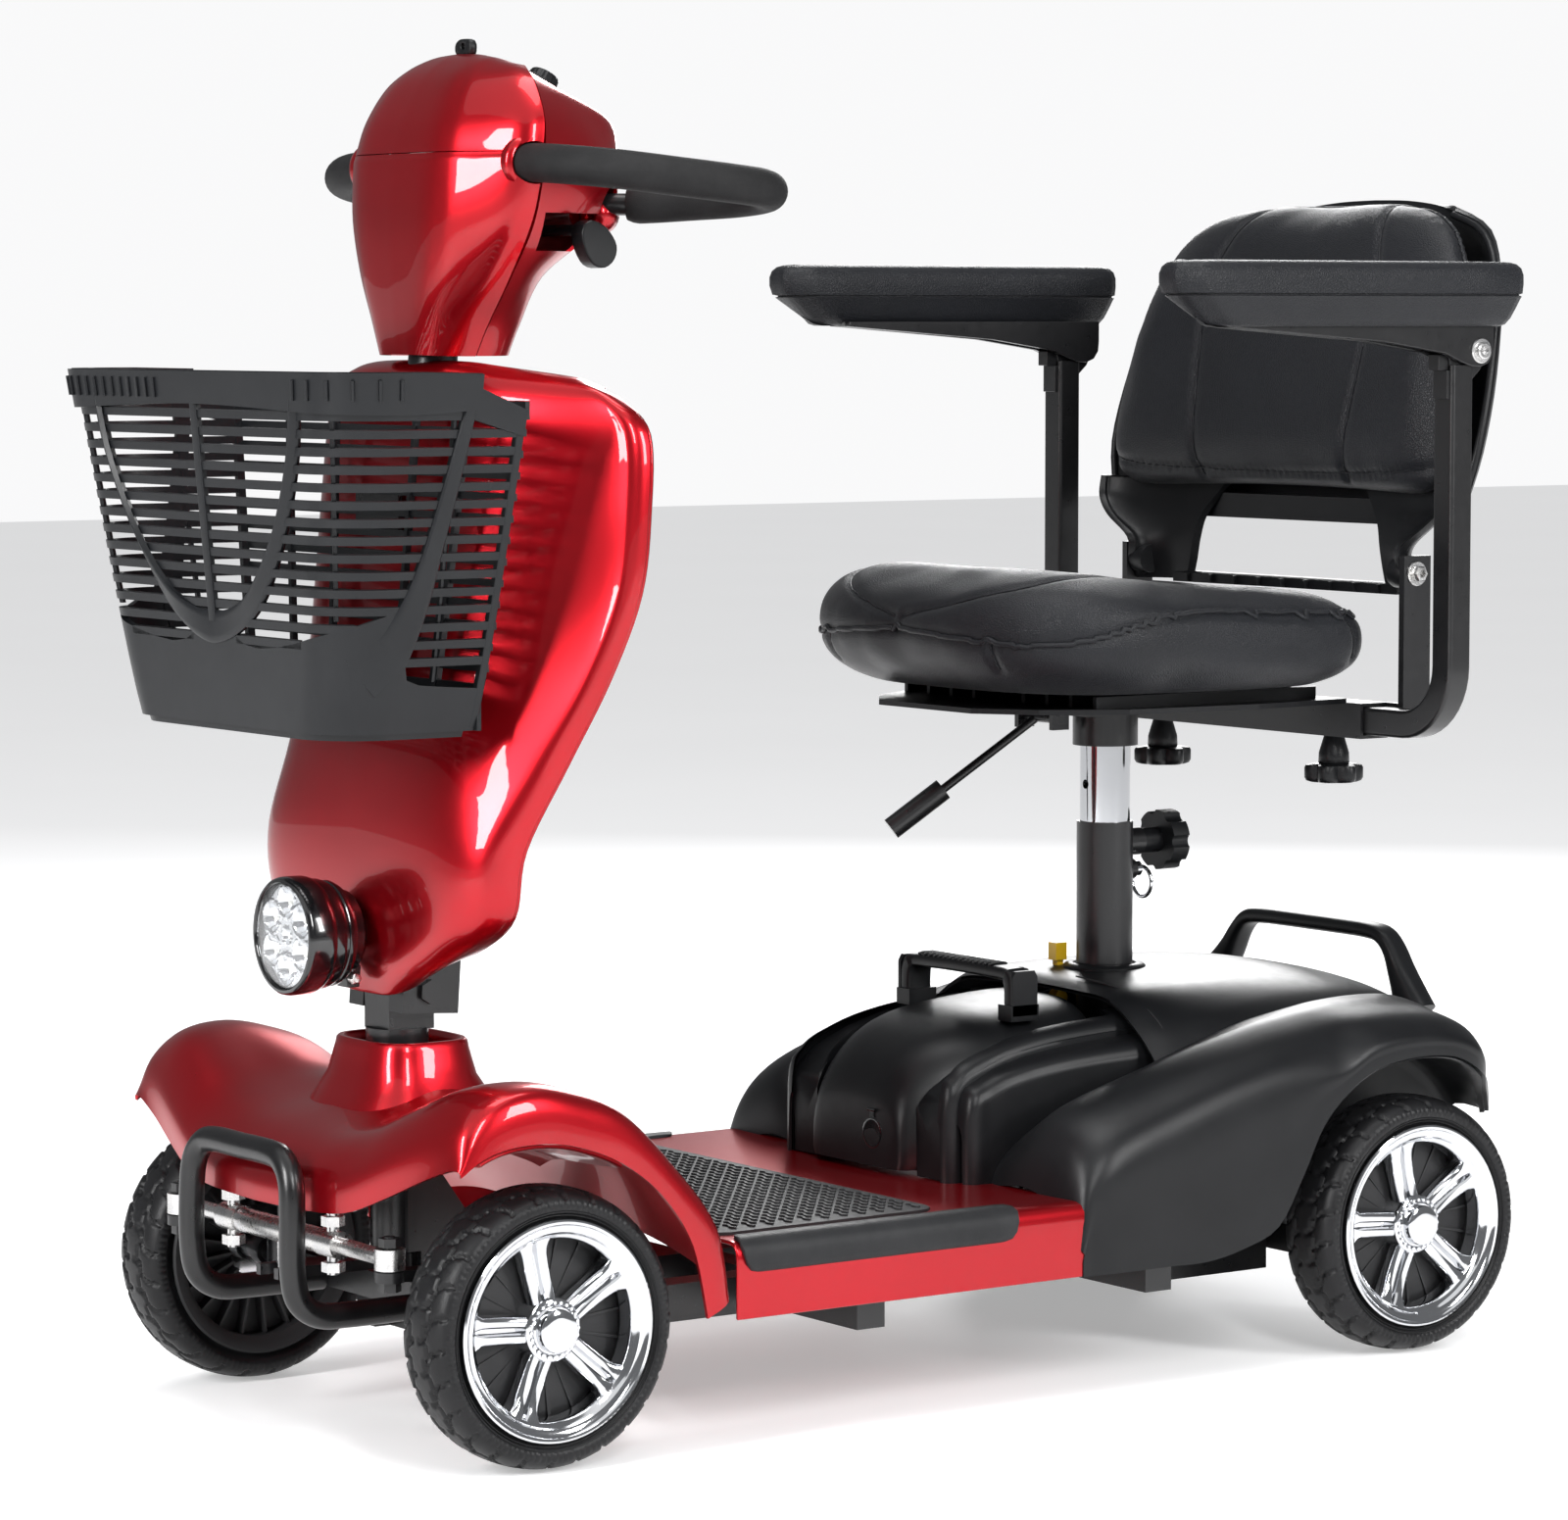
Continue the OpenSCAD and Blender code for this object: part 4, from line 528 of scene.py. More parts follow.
def build_head():
    G = dense(hf_rows, 6, 5); k = 5 * 6  # the seam runs along row 5
    for nm, g, rep in (("head_front_lower", G[:k + 1].copy(), ("head_front_shell",)), ("head_front_upper", G[k:].copy(), ())):
        if nm.endswith("upper"): g[0, :, 2] += 0.7
        mb = MB(); mb.skin(g, 3.0); ob = mb.make(nm, M["red"], None)
        cs = []
        if nm.endswith("lower"): cs = [cutter([(-140, -342, 914), (-80, -342, 914)], 15.2), cutter([(80, -342, 914), (140, -342, 914)], 15.2)]
        else: cs = [cutter([(-140, -342, 914), (-80, -342, 914)], 15.2), cutter([(80, -342, 914), (140, -342, 914)], 15.2), cutter([(0, -327, 960), (0, -327, 1010)], 5.4)]
        hole_mesh(ob, cs); place(ob, "tiller", rep)
    mb = MB(); mb.skin(dense(hr_rows, 6, 5), -2.6); ob = mb.make("head_rear_cover", M["red"], None)
    cs = [cutter([(s * 50, -288, 886), (s * 118, -220, 886)], 14.6) for s in (-1, 1)]
    cs += [cutter([(s * 80, -342, 914), (s * 140, -342, 914)], 15.2) for s in (-1, 1)]
    for s in (-1, 1):
        q = MB(); q.box((62 if s > 0 else -130, -329, 852), (130 if s > 0 else -62, -250, 879)); cs.append(q.make("cutter", M["dark"]))
    hole_mesh(ob, cs); place(ob, "tiller", ("head_rear_shell",))
    # flared boss rings where the handlebar comes out
    mb = MB()
    for s in (-1, 1):
        mb.lathe([(13.9, 92), (15.0, 92), (19.5, 101), (20.5, 106), (19.2, 110), (16.0, 111.5), (14.4, 110.5)], "x", 48, (0, -342, 914)) if s > 0 else \
            mb.lathe([(13.9, -92), (15.0, -92), (19.5, -101), (20.5, -106), (19.2, -110), (16.0, -111.5), (14.4, -110.5)], "x", 48, (0, -342, 914))
    mb.make("handlebar_bosses", M["red"], "tiller", (), sharp=50)
    # rounded pod under the console, where the paddle comes out
    P = [(-74, -270, 880), (-70, -262, 879), (-40, -256, 878), (0, -254, 877), (40, -256, 878), (70, -262, 879), (74, -270, 880)]
    mb = MB(); n = 13; Q = crpath(P, 3); rr = np.array([7, 13, 17] + [18.5] * (len(Q) - 6) + [17, 13, 7])[:len(Q)]
    mb.tube(Q, rr, 28, up=(0, 0, 1), flat=0.86); mb.make("head_pod", M["red"], "tiller", (), sharp=60)


build_head()


def on_panel(p):
    """console frame to the row frame"""
    a = math.radians(-31); x, y, z = p
    return (x, -281 + y * math.cos(a) - z * math.sin(a), 969.5 + y * math.sin(a) + z * math.cos(a))


PANEL = [[1, 0, 0], [0, math.cos(math.radians(-31)), -math.sin(math.radians(-31))], [0, math.sin(math.radians(-31)), math.cos(math.radians(-31))]]


def build_console():
    # bezel, battery gauge windows and dial scale, all plain
    mb = MB()
    def rr(x0, y0, x1, y1, r, z0, z1, m=0):
        q = []
        for cx, cy, a0 in ((x1 - r, y1 - r, 0), (x0 + r, y1 - r, 90), (x0 + r, y0 + r, 180), (x1 - r, y0 + r, 270)):
            for a in range(0, 91, 15): q.append((cx + r * math.cos(math.radians(a0 + a)), cy + r * math.sin(math.radians(a0 + a))))
        lo = [on_panel((x, y, z0)) for x, y in q]; hi = [on_panel((x, y, z1)) for x, y in q]; n = len(q)
        mb.add(lo + hi, [tuple(range(n - 1, -1, -1)), tuple(range(n, 2 * n))] + [(i, (i + 1) % n, n + (i + 1) % n, n + i) for i in range(n)], m)
    rr(-5, -16, 5, -10, 1.5, 1.4, 2.6, 1)
    for i in range(5): rr(-12 + 5 * i, 8, -8.4 + 5 * i, 13, 0.8, 1.4, 2.4, 2 if i > 1 else 3)
    for i in range(11):
        a = math.radians(-135 + 27 * i); r0, r1 = 13.2, 15.8
        P = [on_panel((24 + r * math.sin(a), r * math.cos(a), 1.7)) for r in (r0, r1)]
        mb.tube(P, 0.45, 8, m=4)
    mb.make("console_marks", [M["gloss"], M["gloss"], M["green"], M["orange"], M["dial"]], "tiller", ())
    paint("console_panel", "plastic", 0.8)
    # speed dial
    mb = MB(); n = 72; R = []
    for z, r0, f in ((2.2, 11.4, 0), (3.2, 12.0, 0), (4.0, 11.6, 0.35), (12.2, 10.8, 0.35), (13.4, 10.0, 0.1), (13.9, 8.6, 0)):
        R.append([on_panel((24 + (r0 + f * math.cos(18 * t)) * math.cos(t), (r0 + f * math.cos(18 * t)) * math.sin(t), z)) for t in np.linspace(0, 2 * np.pi, n, endpoint=False)])
    mb.loft(R); P = [on_panel((24, y, 13.9)) for y in (1, 8)]; mb.tube(P, 0.7, 8, m=1)
    mb.make("speed_dial_knob", [M["plastic"], M["dial"]], "speed_dial", ("speed_knob",), sharp=45)
    # horn button with a domed face
    mb = MB(); prof = [(0, -6), (4.9, -6), (5.0, 3.6), (4.7, 4.6), (3.4, 5.3), (1.6, 5.5), (0, 5.55)]
    mb.lathe(prof, "z", 40, on_panel((-24, 0, 0)), mat3=PANEL); mb.make("horn_cap", M["orange"], "horn", ("horn_button",))
    # paddle
    mb = MB()
    for s in (-1, 1):
        out = crpath([(-292, 874, 0), (-284, 872, 0), (-276, 866, 0), (-270, 856, 0), (-272, 846, 0), (-280, 840, 0), (-290, 842, 0), (-297, 852, 0), (-300, 864, 0), (-297, 872, 0)], 3)[:, :2]
        mb.prism(out, s * 97 if s > 0 else -113, 113 if s > 0 else s * 97, "x")
    mb.tube([(-104, -292, 867), (104, -292, 867)], 5.0, 20, flat=0.8)
    mb.lathe([(0, 853), (8.6, 853), (9, 855), (9, 874), (8, 876), (0, 876)], "z", 32, (0, -292, 0))
    mb.make("throttle_paddle", M["plastic"], "throttle", ("throttle_lever",), bevel=1.6, seg=3)
    # key with a ring hole
    mb = MB(); bow = []
    for x, z in ((-7.5, 993.6), (7.5, 993.6), (10.5, 996.5), (11, 1001.5), (8, 1005.3), (2, 1005.9), (-6, 1005.4), (-10.6, 1002), (-10.8, 996.6)): bow.append((x, z, 0))
    bow = np.array(bow)[:, :2]; outer = []
    q = np.array([(x, z) for x, z in bow]); c = np.array([0, 1000.6])
    ang = np.linspace(0, 2 * np.pi, 40, endpoint=False); R = []
    qq = crpath([(x, z, 0) for x, z in list(bow) + [bow[0]]], 5)[:-1, :2]; th = np.arctan2(qq[:, 1] - c[1], qq[:, 0] - c[0]); o = np.argsort(th); th, qq = th[o], qq[o]
    rad = np.linalg.norm(qq - c, axis=1)
    for t in ang:
        tt = (t + np.pi) % (2 * np.pi) - np.pi; r = np.interp(tt, th, rad, period=2 * np.pi); dx, dz = math.cos(t), math.sin(t)
        R.append([(dx * 2.6, -329.6, c[1] + dz * 2.6), (dx * 3.1, -330, c[1] + dz * 3.1), (dx * (r - 0.8), -330, c[1] + dz * (r - 0.8)), (dx * r, -329.2, c[1] + dz * r),
                  (dx * r, -324.8, c[1] + dz * r), (dx * (r - 0.8), -324, c[1] + dz * (r - 0.8)), (dx * 3.1, -324, c[1] + dz * 3.1), (dx * 2.6, -324.4, c[1] + dz * 2.6)])
    mb.loft(R, 0, closed=True); mb.lathe([(0, 975), (2.8, 975), (2.8, 993.9), (0, 993.9)], "z", 20, (0, -327, 0), m=1)
    mb.make("key", [M["plastic"], M["steel"]], "key", ("ignition_key",), sharp=50)
    mb = MB(); mb.lathe([(3.4, 990.6), (6.6, 990.6), (6.6, 992.6), (5.8, 993.2), (3.4, 993.2)], "z", 32, (0, -327, 0)); mb.make("key_escutcheon", M["steel"], "tiller", ())


build_console()

grip_ctrl = [[88, -342, 914], [112, -342, 914], [150, -338, 912], [190, -318, 908], [212, -284, 903], [216, -244, 899],
             [206, -208, 896], [182, -188, 893], [152, -192, 890], [124, -212, 888], [100, -238, 886], [80, -258, 886]]


def build_bars():
    P = crpath(grip_ctrl, 8)
    mb = MB()
    a, b = 4, len(P) - 5
    r = np.full(b - a, 13.9); r[0] = 11.5; r[1] = 13.2; r[-1] = 11.5; r[-2] = 13.2
    mb.tube(P[a:b], r, 28, both=True); mb.make("foam_grips", M["foam"], "tiller", ("handlebar_grips",), sharp=60)
    mb = MB(); Q = crpath([[0, -342, 914], [40, -342, 914], [70, -342, 914]] + grip_ctrl + [[60, -262, 886], [36, -268, 886]], 5)
    mb.tube(Q, 8, 18, both=True); mb.make("handlebar_tube", M["frame"], "tiller", ("handlebar_frame",), sharp=60)


build_bars()


# ================================================================ headlight
def build_headlight():
    Z = 361
    mb = MB()
    prof = [(14.2, -424.3), (14.2, -430), (27, -431), (31, -435), (31.6, -441), (33.2, -442.5), (36.4, -444), (38.6, -448), (38.6, -450.6), (37.6, -451.4), (37.6, -453.2), (39.2, -454.2),
            (40.2, -457), (40.4, -463), (42.2, -465.5), (43, -469), (43, -482), (42.3, -485), (41.0, -486.4), (39.0, -486.6), (38.0, -484.8), (37.6, -480), (37.0, -466), (33, -446), (10, -436), (8, -430), (8, -424.4)]
    mb.lathe(prof, "y", 96, (0, 0, Z)); mb.make("headlight_barrel", M["gloss"], "tiller", ("headlight_housing",), sharp=30)
    # insert: plate with seven cups
    mb = MB(); cups = [(0, 0, 6.2)] + [(24 * math.cos(math.radians(60 * k + 90)), 24 * math.sin(math.radians(60 * k + 90)), 11.2) for k in range(6)]
    n = 72; st = 1.05; g = np.arange(-36.75, 36.8, st); X, Zg = np.meshgrid(g, g, indexing="xy")
    rad = np.hypot(X, Zg); s = np.clip(36.9 / np.maximum(rad, 1e-6), 0, 1); X, Zg = X * s, Zg * s
    H = np.full(X.shape, -479.5)
    H += 0.35 * np.sin((X + Zg) * 2.0)  # fine ribs on the plate
    for cx, cz, cr_ in cups:
        d = np.hypot(X - cx, Zg - cz) / cr_
        dep = np.where(d < 1, 9.0 * np.maximum(1 - d ** 2, 0) ** 0.8 * (cr_ / 11.2), 0) - np.where((d >= 1) & (d < 1.12), 0.8 * np.sin((d - 1) / 0.12 * np.pi), 0)
        H = np.where(d < 1.12, -479.8 + dep, H)
    G = np.stack([X, H, Zg + Z], axis=-1); mb.skin(G, 1.2)
    for cx, cz, cr_ in cups: mb.lathe([(0, -478.6), (1.6, -478.4), (2.3, -476.5), (2.4, -470), (0, -470)], "y", 20, (cx, 0, Z + cz), m=1)
    mb.make("headlight_cups", [M["reflector"], M["led"]], "tiller", ("headlight_reflectors",), sharp=60)
    # clear lens, drawn smooth; its ribs are not modelled
    mb = MB(); prof = [(0, -487.3), (12, -487.2), (26, -486.8), (34, -486.0), (37.5, -484.8), (37.5, -482.6), (34, -483.8), (26, -484.6), (12, -485.0), (0, -485.1)]
    mb.lathe(prof, "y", 72, (0, 0, Z)); mb.make("headlight_cover", M["lens"], "tiller", ("headlight_lens",), sharp=60)
    # bracket between the light and the mast
    mb = MB()
    for s in (-1, 1): mb.lathe([(0, s * 8), (5, s * 8), (5, s * 13), (3.6, s * 14.4), (0, s * 14.6)], "x", 6, (0, -432, Z - 33), m=1)
    mb.prism([(-436, Z - 40), (-426, Z - 40), (-424.6, Z - 24), (-430, Z - 22), (-438, Z - 28)], -8, 8, "x")
    mb.make("headlight_bracket", [M["frame"], M["steel"]], "tiller", (), bevel=0.8)


build_headlight()


# ================================================================ basket
def bk_w(z): return 150 + 57 * max((z - 512) / 253, 0) ** 0.8


def bk_ring(z, out=0.0, rc=44.0, n=12):
    """open path: from the left rear corner round the front to the right rear corner"""
    w = bk_w(z) + out; yf = -556 + 24 * (765 - z) / 250 - out; yb = -402 - 15 * (765 - z) / 250
    rc = min(rc, w)
    P = [(w, yb)]
    for y in np.linspace(yb, yf + rc, 10)[1:]: P.append((w, y))
    for a in np.linspace(0, 90, n + 1)[1:]: P.append((w - rc + rc * math.cos(math.radians(a)), yf + rc - rc * math.sin(math.radians(a))))
    for x in np.linspace(w - rc, -(w - rc), 22)[1:]: P.append((x, yf))
    for a in np.linspace(90, 180, n + 1)[1:]: P.append((-w + rc + rc * math.cos(math.radians(a)), yf + rc - rc * math.sin(math.radians(a))))
    for y in np.linspace(yf + rc, yb, 10)[1:]: P.append((-w, y))
    return np.array(P)


def bk_at(s, z, out=0.0):
    """point on the wall. s: 0 at the middle of the front, +-1 at the side edges of the front corner arc, +-2 at the rear"""
    R = bk_ring(z, out); d = np.r_[0, np.cumsum(np.linalg.norm(np.diff(R, axis=0), axis=1))]; L = d[-1]
    w = bk_w(z); ys = (-556 + 24 * (765 - z) / 250) + 44; yb = -402 - 15 * (765 - z) / 250
    side = yb - ys; a = abs(s)
    half = L / 2; corner = half - side - out * 0
    u = a * corner if a <= 1 else corner + (a - 1) * side
    q = half - u if s > 0 else half + u
    return np.array([np.interp(q, d, R[:, 0]), np.interp(q, d, R[:, 1]), z])


def wall_band(mb, f_lo, f_hi, s0, s1, th_in, th_out, n=90, m=4):
    """closed band on the wall between two height curves"""
    R = []
    for s in np.linspace(s0, s1, n):
        lo, hi = f_lo(s), f_hi(s)
        ring = [bk_at(s, lo + (hi - lo) * k / m, th_out) for k in range(m + 1)] + [bk_at(s, hi - (hi - lo) * k / m, -th_in) for k in range(m + 1)]
        R.append(ring)
    mb.loft(R)


def wall_rib(mb, path, width, th_in, th_out):
    """strip on the wall along (s, z) points with a width in mm"""
    P = np.array([bk_at(s, z) for s, z in path]); Po = np.array([bk_at(s, z, 4.0) for s, z in path])
    T = np.gradient(P, axis=0); T /= np.linalg.norm(T, axis=1, keepdims=True)
    O = Po - P; O /= np.linalg.norm(O, axis=1, keepdims=True); S = np.cross(T, O); S /= np.linalg.norm(S, axis=1, keepdims=True)
    width = np.broadcast_to(np.asarray(width, float), (len(P),)); th_out = np.broadcast_to(np.asarray(th_out, float), (len(P),)); R = []
    for i in range(len(P)):
        h = width[i] / 2; to = th_out[i]
        R.append([P[i] + S[i] * a * h + O[i] * b for a, b in ((-1, -th_in), (1, -th_in), (1, to * 0.5), (0.8, to * 0.9), (0.5, to), (-0.5, to), (-0.8, to * 0.9), (-1, to * 0.5))])
    mb.loft(R)


def build_basket():
    def lerp(s, pts): return float(np.interp(abs(s), [p[0] for p in pts], [p[1] for p in pts]))
    # top edge of the solid lower band, from the middle of the front to the rear
    xs = np.array([0, 0.12, 0.22, 0.32, 0.45, 0.58, 0.72, 0.86, 0.98, 1.07, 1.11, 1.16, 1.30, 1.6, 2.0])
    zs = np.array([596, 583, 575, 573, 575, 579, 585, 592, 600, 603, 580, 554, 550, 548, 546])
    def top(s): return float(np.interp(abs(s), xs, zs))
    solid = MB()
    wall_band(solid, lambda s: 516, top, -1.98, 1.98, 3.2, 0.6, 200, 5)
    # lower lip
    wall_band(solid, lambda s: 511.5, lambda s: 520, -1.9, 1.9, 6.5, -3.0, 120, 1)
    # rim band round the front and most of the sides
    def rlo(s): return 744 - 0.0 * abs(s) + (8 * max(abs(s) - 1.55, 0) / 0.1 if abs(s) > 1.55 else 0)
    wall_band(solid, lambda s: 741 + 3 * math.cos(s * 3), lambda s: 767 - 2.5 * max(abs(s) - 1.2, 0), -1.62, 1.62, 3.0, 4.2, 200, 4)
    wall_band(solid, lambda s: 762, lambda s: 767.6 - 2.5 * max(abs(s) - 1.2, 0), -1.62, 1.62, 7.5, 2.0, 200, 1)
    # thinner rear part of the rim
    wall_band(solid, lambda s: 734 + (abs(s) - 1.6) * -30, lambda s: 757 + (abs(s) - 1.6) * -42, 1.58, 1.99, 2.5, 2.2, 24, 2)
    wall_band(solid, lambda s: 734 + (abs(s) - 1.6) * -30, lambda s: 757 + (abs(s) - 1.6) * -42, -1.99, -1.58, 2.5, 2.2, 24, 2)
    # ribs on the rim band
    for sg in (-1, 1):
        for q in list(np.linspace(0.20, 0.78, 12)) if sg < 0 else list(np.linspace(0.62, 1.02, 6)):
            P = [bk_at(sg * q, z, 5.0) for z in (748, 762)]; solid.tube(P, 1.25, 8)
    # slats
    nsl = 15
    for k in range(nsl):
        z = 566 + (737 - 566) * k / (nsl - 1)
        segs = []; S = np.linspace(-1.98, 1.98, 180)
        S = [s for s in S if z + 3.2 > top(s) + 0.5]
        run = []
        for s in np.linspace(-1.98, 1.98, 240):
            if z + 2.6 > top(s): run.append(s)
            elif run: segs.append(run); run = []
        if run: segs.append(run)
        for r in segs:
            if len(r) < 4: continue
            R = []
            for s in r:
                R.append([bk_at(s, z - 2.9, 0.6), bk_at(s, z + 2.9, 0.6), bk_at(s, z + 3.4, -4.0), bk_at(s, z - 2.3, -4.0)])
            solid.loft(R)
    # front U rib and middle rib
    arm = [(0.62, 748, 0), (0.60, 710, 0), (0.53, 668, 0), (0.43, 634, 0), (0.30, 606, 0), (0.15, 591, 0)]
    U = crpath(arm + [(0.0, 586, 0)] + [(-a, b, 0) for a, b, c in arm[::-1]], 7); q = np.abs(np.linspace(-1, 1, len(U)))
    wall_rib(solid, U[:, :2], np.interp(q, [0, 0.25, 0.6, 1], [24, 17, 11, 8.5]), 2.5, np.interp(q, [0, 0.3, 1], [2.0, 3.0, 3.0]))
    for sg in (-1, 1):
        # long curved strut from the lower front corner to the side end of the rim
        U = crpath([(sg * 0.88, 556, 0), (sg * 0.99, 572, 0), (sg * 1.12, 592, 0), (sg * 1.25, 618, 0), (sg * 1.37, 656, 0), (sg * 1.48, 702, 0), (sg * 1.56, 744, 0)], 7)
        q = np.linspace(0, 1, len(U)); wall_rib(solid, U[:, :2], np.interp(q, [0, 0.3, 0.6, 1], [34, 25, 15, 9]), 2.5, np.interp(q, [0, 0.35, 1], [0.7, 3.2, 3.2]))
        # edge of the corner post
        wall_rib(solid, [(sg * 1.965, z) for z in np.linspace(518, 742, 12)], 6.0, 4.5, 1.2)
        wall_rib(solid, [(sg * 1.46, z) for z in np.linspace(552, 742, 12)], 3.0, 4.5, -2.0)
        wall_rib(solid, [(sg * 0.80, z) for z in np.linspace(596, 742, 12)], 3.0, 4.5, -2.0)
    wall_rib(solid, [(0, z) for z in np.linspace(590, 746, 12)], 9.0, 2.5, 2.2)
    # rear wall with slats
    def yb(z): return -402 - 15 * (765 - z) / 250
    for k in range(12):
        z = 560 + 15 * k; w = bk_w(z)
        solid.box((-w, yb(z) - 1.5, z - 2.6), (w, yb(z) + 1.8, z + 2.6))
    for x in (-1, 1):
        for f in (0.28, 0.62):
            P = [(x * f * bk_w(z), yb(z), z) for z in np.linspace(516, 744, 8)]; solid.sweep(P, [(-2.2, -3), (2.2, -3), (2.2, 1.5), (-2.2, 1.5)], up=(0, 1, 0))
    solid.sweep([(x, yb(z_) + 0.2, z_) for x, z_ in [(q, 741) for q in np.linspace(-bk_w(738), bk_w(738), 12)]], [(-2, -7), (2, -7), (2, 6), (-2, 6)], up=(0, 0, 1))
    solid.box((-bk_w(530), yb(530) - 1.5, 516), (bk_w(530), yb(530) + 2.0, 549))
    # floor with lengthwise bars
    yf = -556 + 24 * (765 - 518) / 250
    for x in np.linspace(-138, 138, 15):
        y0 = yf + 51 - math.sqrt(44 ** 2 - max(abs(x) + 3 - 106, 0) ** 2)
        solid.box((x - 3, y0, 516), (x + 3, -418, 520))
    for y in np.linspace(yf + 10, -424, 6):
        xe = min(146, 102 + math.sqrt(44 ** 2 - min(max(yf + 47 - y, 0), 44) ** 2))
        solid.box((-xe, y - 3, 515.4), (xe, y + 3, 519.4))
    solid.make("basket_body", M["basket"], "basket", ("basket",), bevel=0.7, seg=2)


build_basket()

# ================================================================ front cover
fc_rows = [
    [[0, -510, 172], [60, -508, 173], [109, -501, 176], [150, -494, 190], [190, -487, 207], [220, -483, 218], [232, -481, 219], [234.6, -480, 215]],
    [[0, -506, 194], [60, -504, 196], [109, -498, 203], [150, -491, 220], [190, -482, 238], [220, -474, 246], [232, -468, 240], [234.6, -462, 226]],
    [[0, -480, 221], [60, -479, 223], [109, -475, 233], [150, -469, 250], [190, -460, 266], [220, -450, 266], [232, -446, 256], [234.6, -440, 232]],
    [[0, -430, 240], [60, -430, 238], [109, -428, 244], [150, -425, 258], [190, -422, 272], [220, -416, 272], [232, -412, 261], [234.6, -411, 233]],
    [[0, -388, 256], [55, -388, 250], [100, -388, 246], [145, -388, 256], [190, -386, 267], [220, -383, 266], [232, -380, 254], [234.6, -383, 228]],
    [[0, -350, 246], [50, -350, 240], [100, -350, 234], [145, -348, 240], [190, -346, 251], [220, -343, 250], [232, -340, 238], [234.6, -348, 214]],
    [[0, -308, 204], [50, -308, 203], [100, -308, 202], [145, -307, 205], [190, -305, 213], [220, -302, 212], [232, -300, 200], [234.6, -314, 188]],
    [[0, -278, 168], [50, -278, 168], [100, -277, 168], [150, -274, 168], [190, -270, 169], [220, -267, 167], [232, -266, 157], [234.6, -288, 150]],
    [[0, -262, 149], [50, -262, 149], [100, -261, 148], [150, -258, 140], [190, -256, 130], [220, -255, 118], [232, -255.6, 106], [234.6, -275, 96]]]


def build_front_cover():
    G = dense(fc_rows, 6, 4)
    mb = MB(); mb.skin(G, -2.8)
    # raised collar with a flared foot
    def se(a, b, t, n=3.2): return a * abs(math.cos(t)) ** (2 / n) * (1 if math.cos(t) > 0 else -1), b * abs(math.sin(t)) ** (2 / n) * (1 if math.sin(t) > 0 else -1)
    R = []
    for a, b, z in ((66, 60, 238), (60, 52, 250), (54.5, 45.5, 260), (51.5, 42.5, 268), (49.5, 40.5, 276), (48.6, 39.6, 280.4), (47.0, 38.2, 282), (44, 35.6, 282), (42.6, 34.4, 280), (42, 34, 272), (46, 38, 262), (52, 46, 244)):
        ring = []
        for t in np.linspace(0, 2 * np.pi, 72, endpoint=False):
            x, y = se(a, b, t); ring.append((x, -386 + y, z - (0.10 * abs(y) if z < 262 else 0)))
        R.append(ring)
    mb.loft(R, closed=True)
    ob = mb.make("front_body_cover", M["red"], None, sharp=40)
    hole_mesh(ob, [cutter([(0, -390, 200), (0, -390, 320)], 29)])
    place(ob, "chassis", ("front_cover",))
    # wheel arch liners, from the arch edge inwards
    E = G[:, -1].copy()
    for sg in (-1, 1):
        rows = []
        for e in E:
            if e[1] > -345 or e[1] < -466: continue
            rows.append([(sg * 234.0, e[1] + 0.4, e[2] - 0.6), (sg * 228, e[1] + 0.8, e[2] - 2.2), (sg * 190, e[1], e[2] - 4), (sg * 150, e[1], e[2] - 6), (sg * 128, e[1], e[2] - 14)])
        mb = MB(); mb.skin(np.array([crpath(r, 4) for r in rows]), 2.0); mb.make("front_arch_liner_" + ("left" if sg > 0 else "right"), M["red"], "chassis", (), sharp=50)


build_front_cover()


# ================================================================ deck
def wave_ribs(mb, inside, top, x0, x1, y0, y1, dx=21.0, dy=8.2, m=0):
    """rows of short wavy ribs moulded on a mat"""
    row = 0; y = y0
    while y <= y1:
        off = (row % 2) * dx / 2
        x = x0 - dx
        while x <= x1:
            P = []
            for q in np.linspace(0, 1, 7):
                px = x + off + q * (dx - 4.5); py = y + 1.7 * math.sin(q * 2 * math.pi)
                P.append((px, py, top(px, py)))
            if all(inside(p[0], p[1]) for p in (P[0], P[3], P[-1])): mb.sweep(P, [(-1.5, -0.6), (1.5, -0.6), (1.0, 1.3), (-1.0, 1.3)], m=m)
            x += dx
        y += dy; row += 1


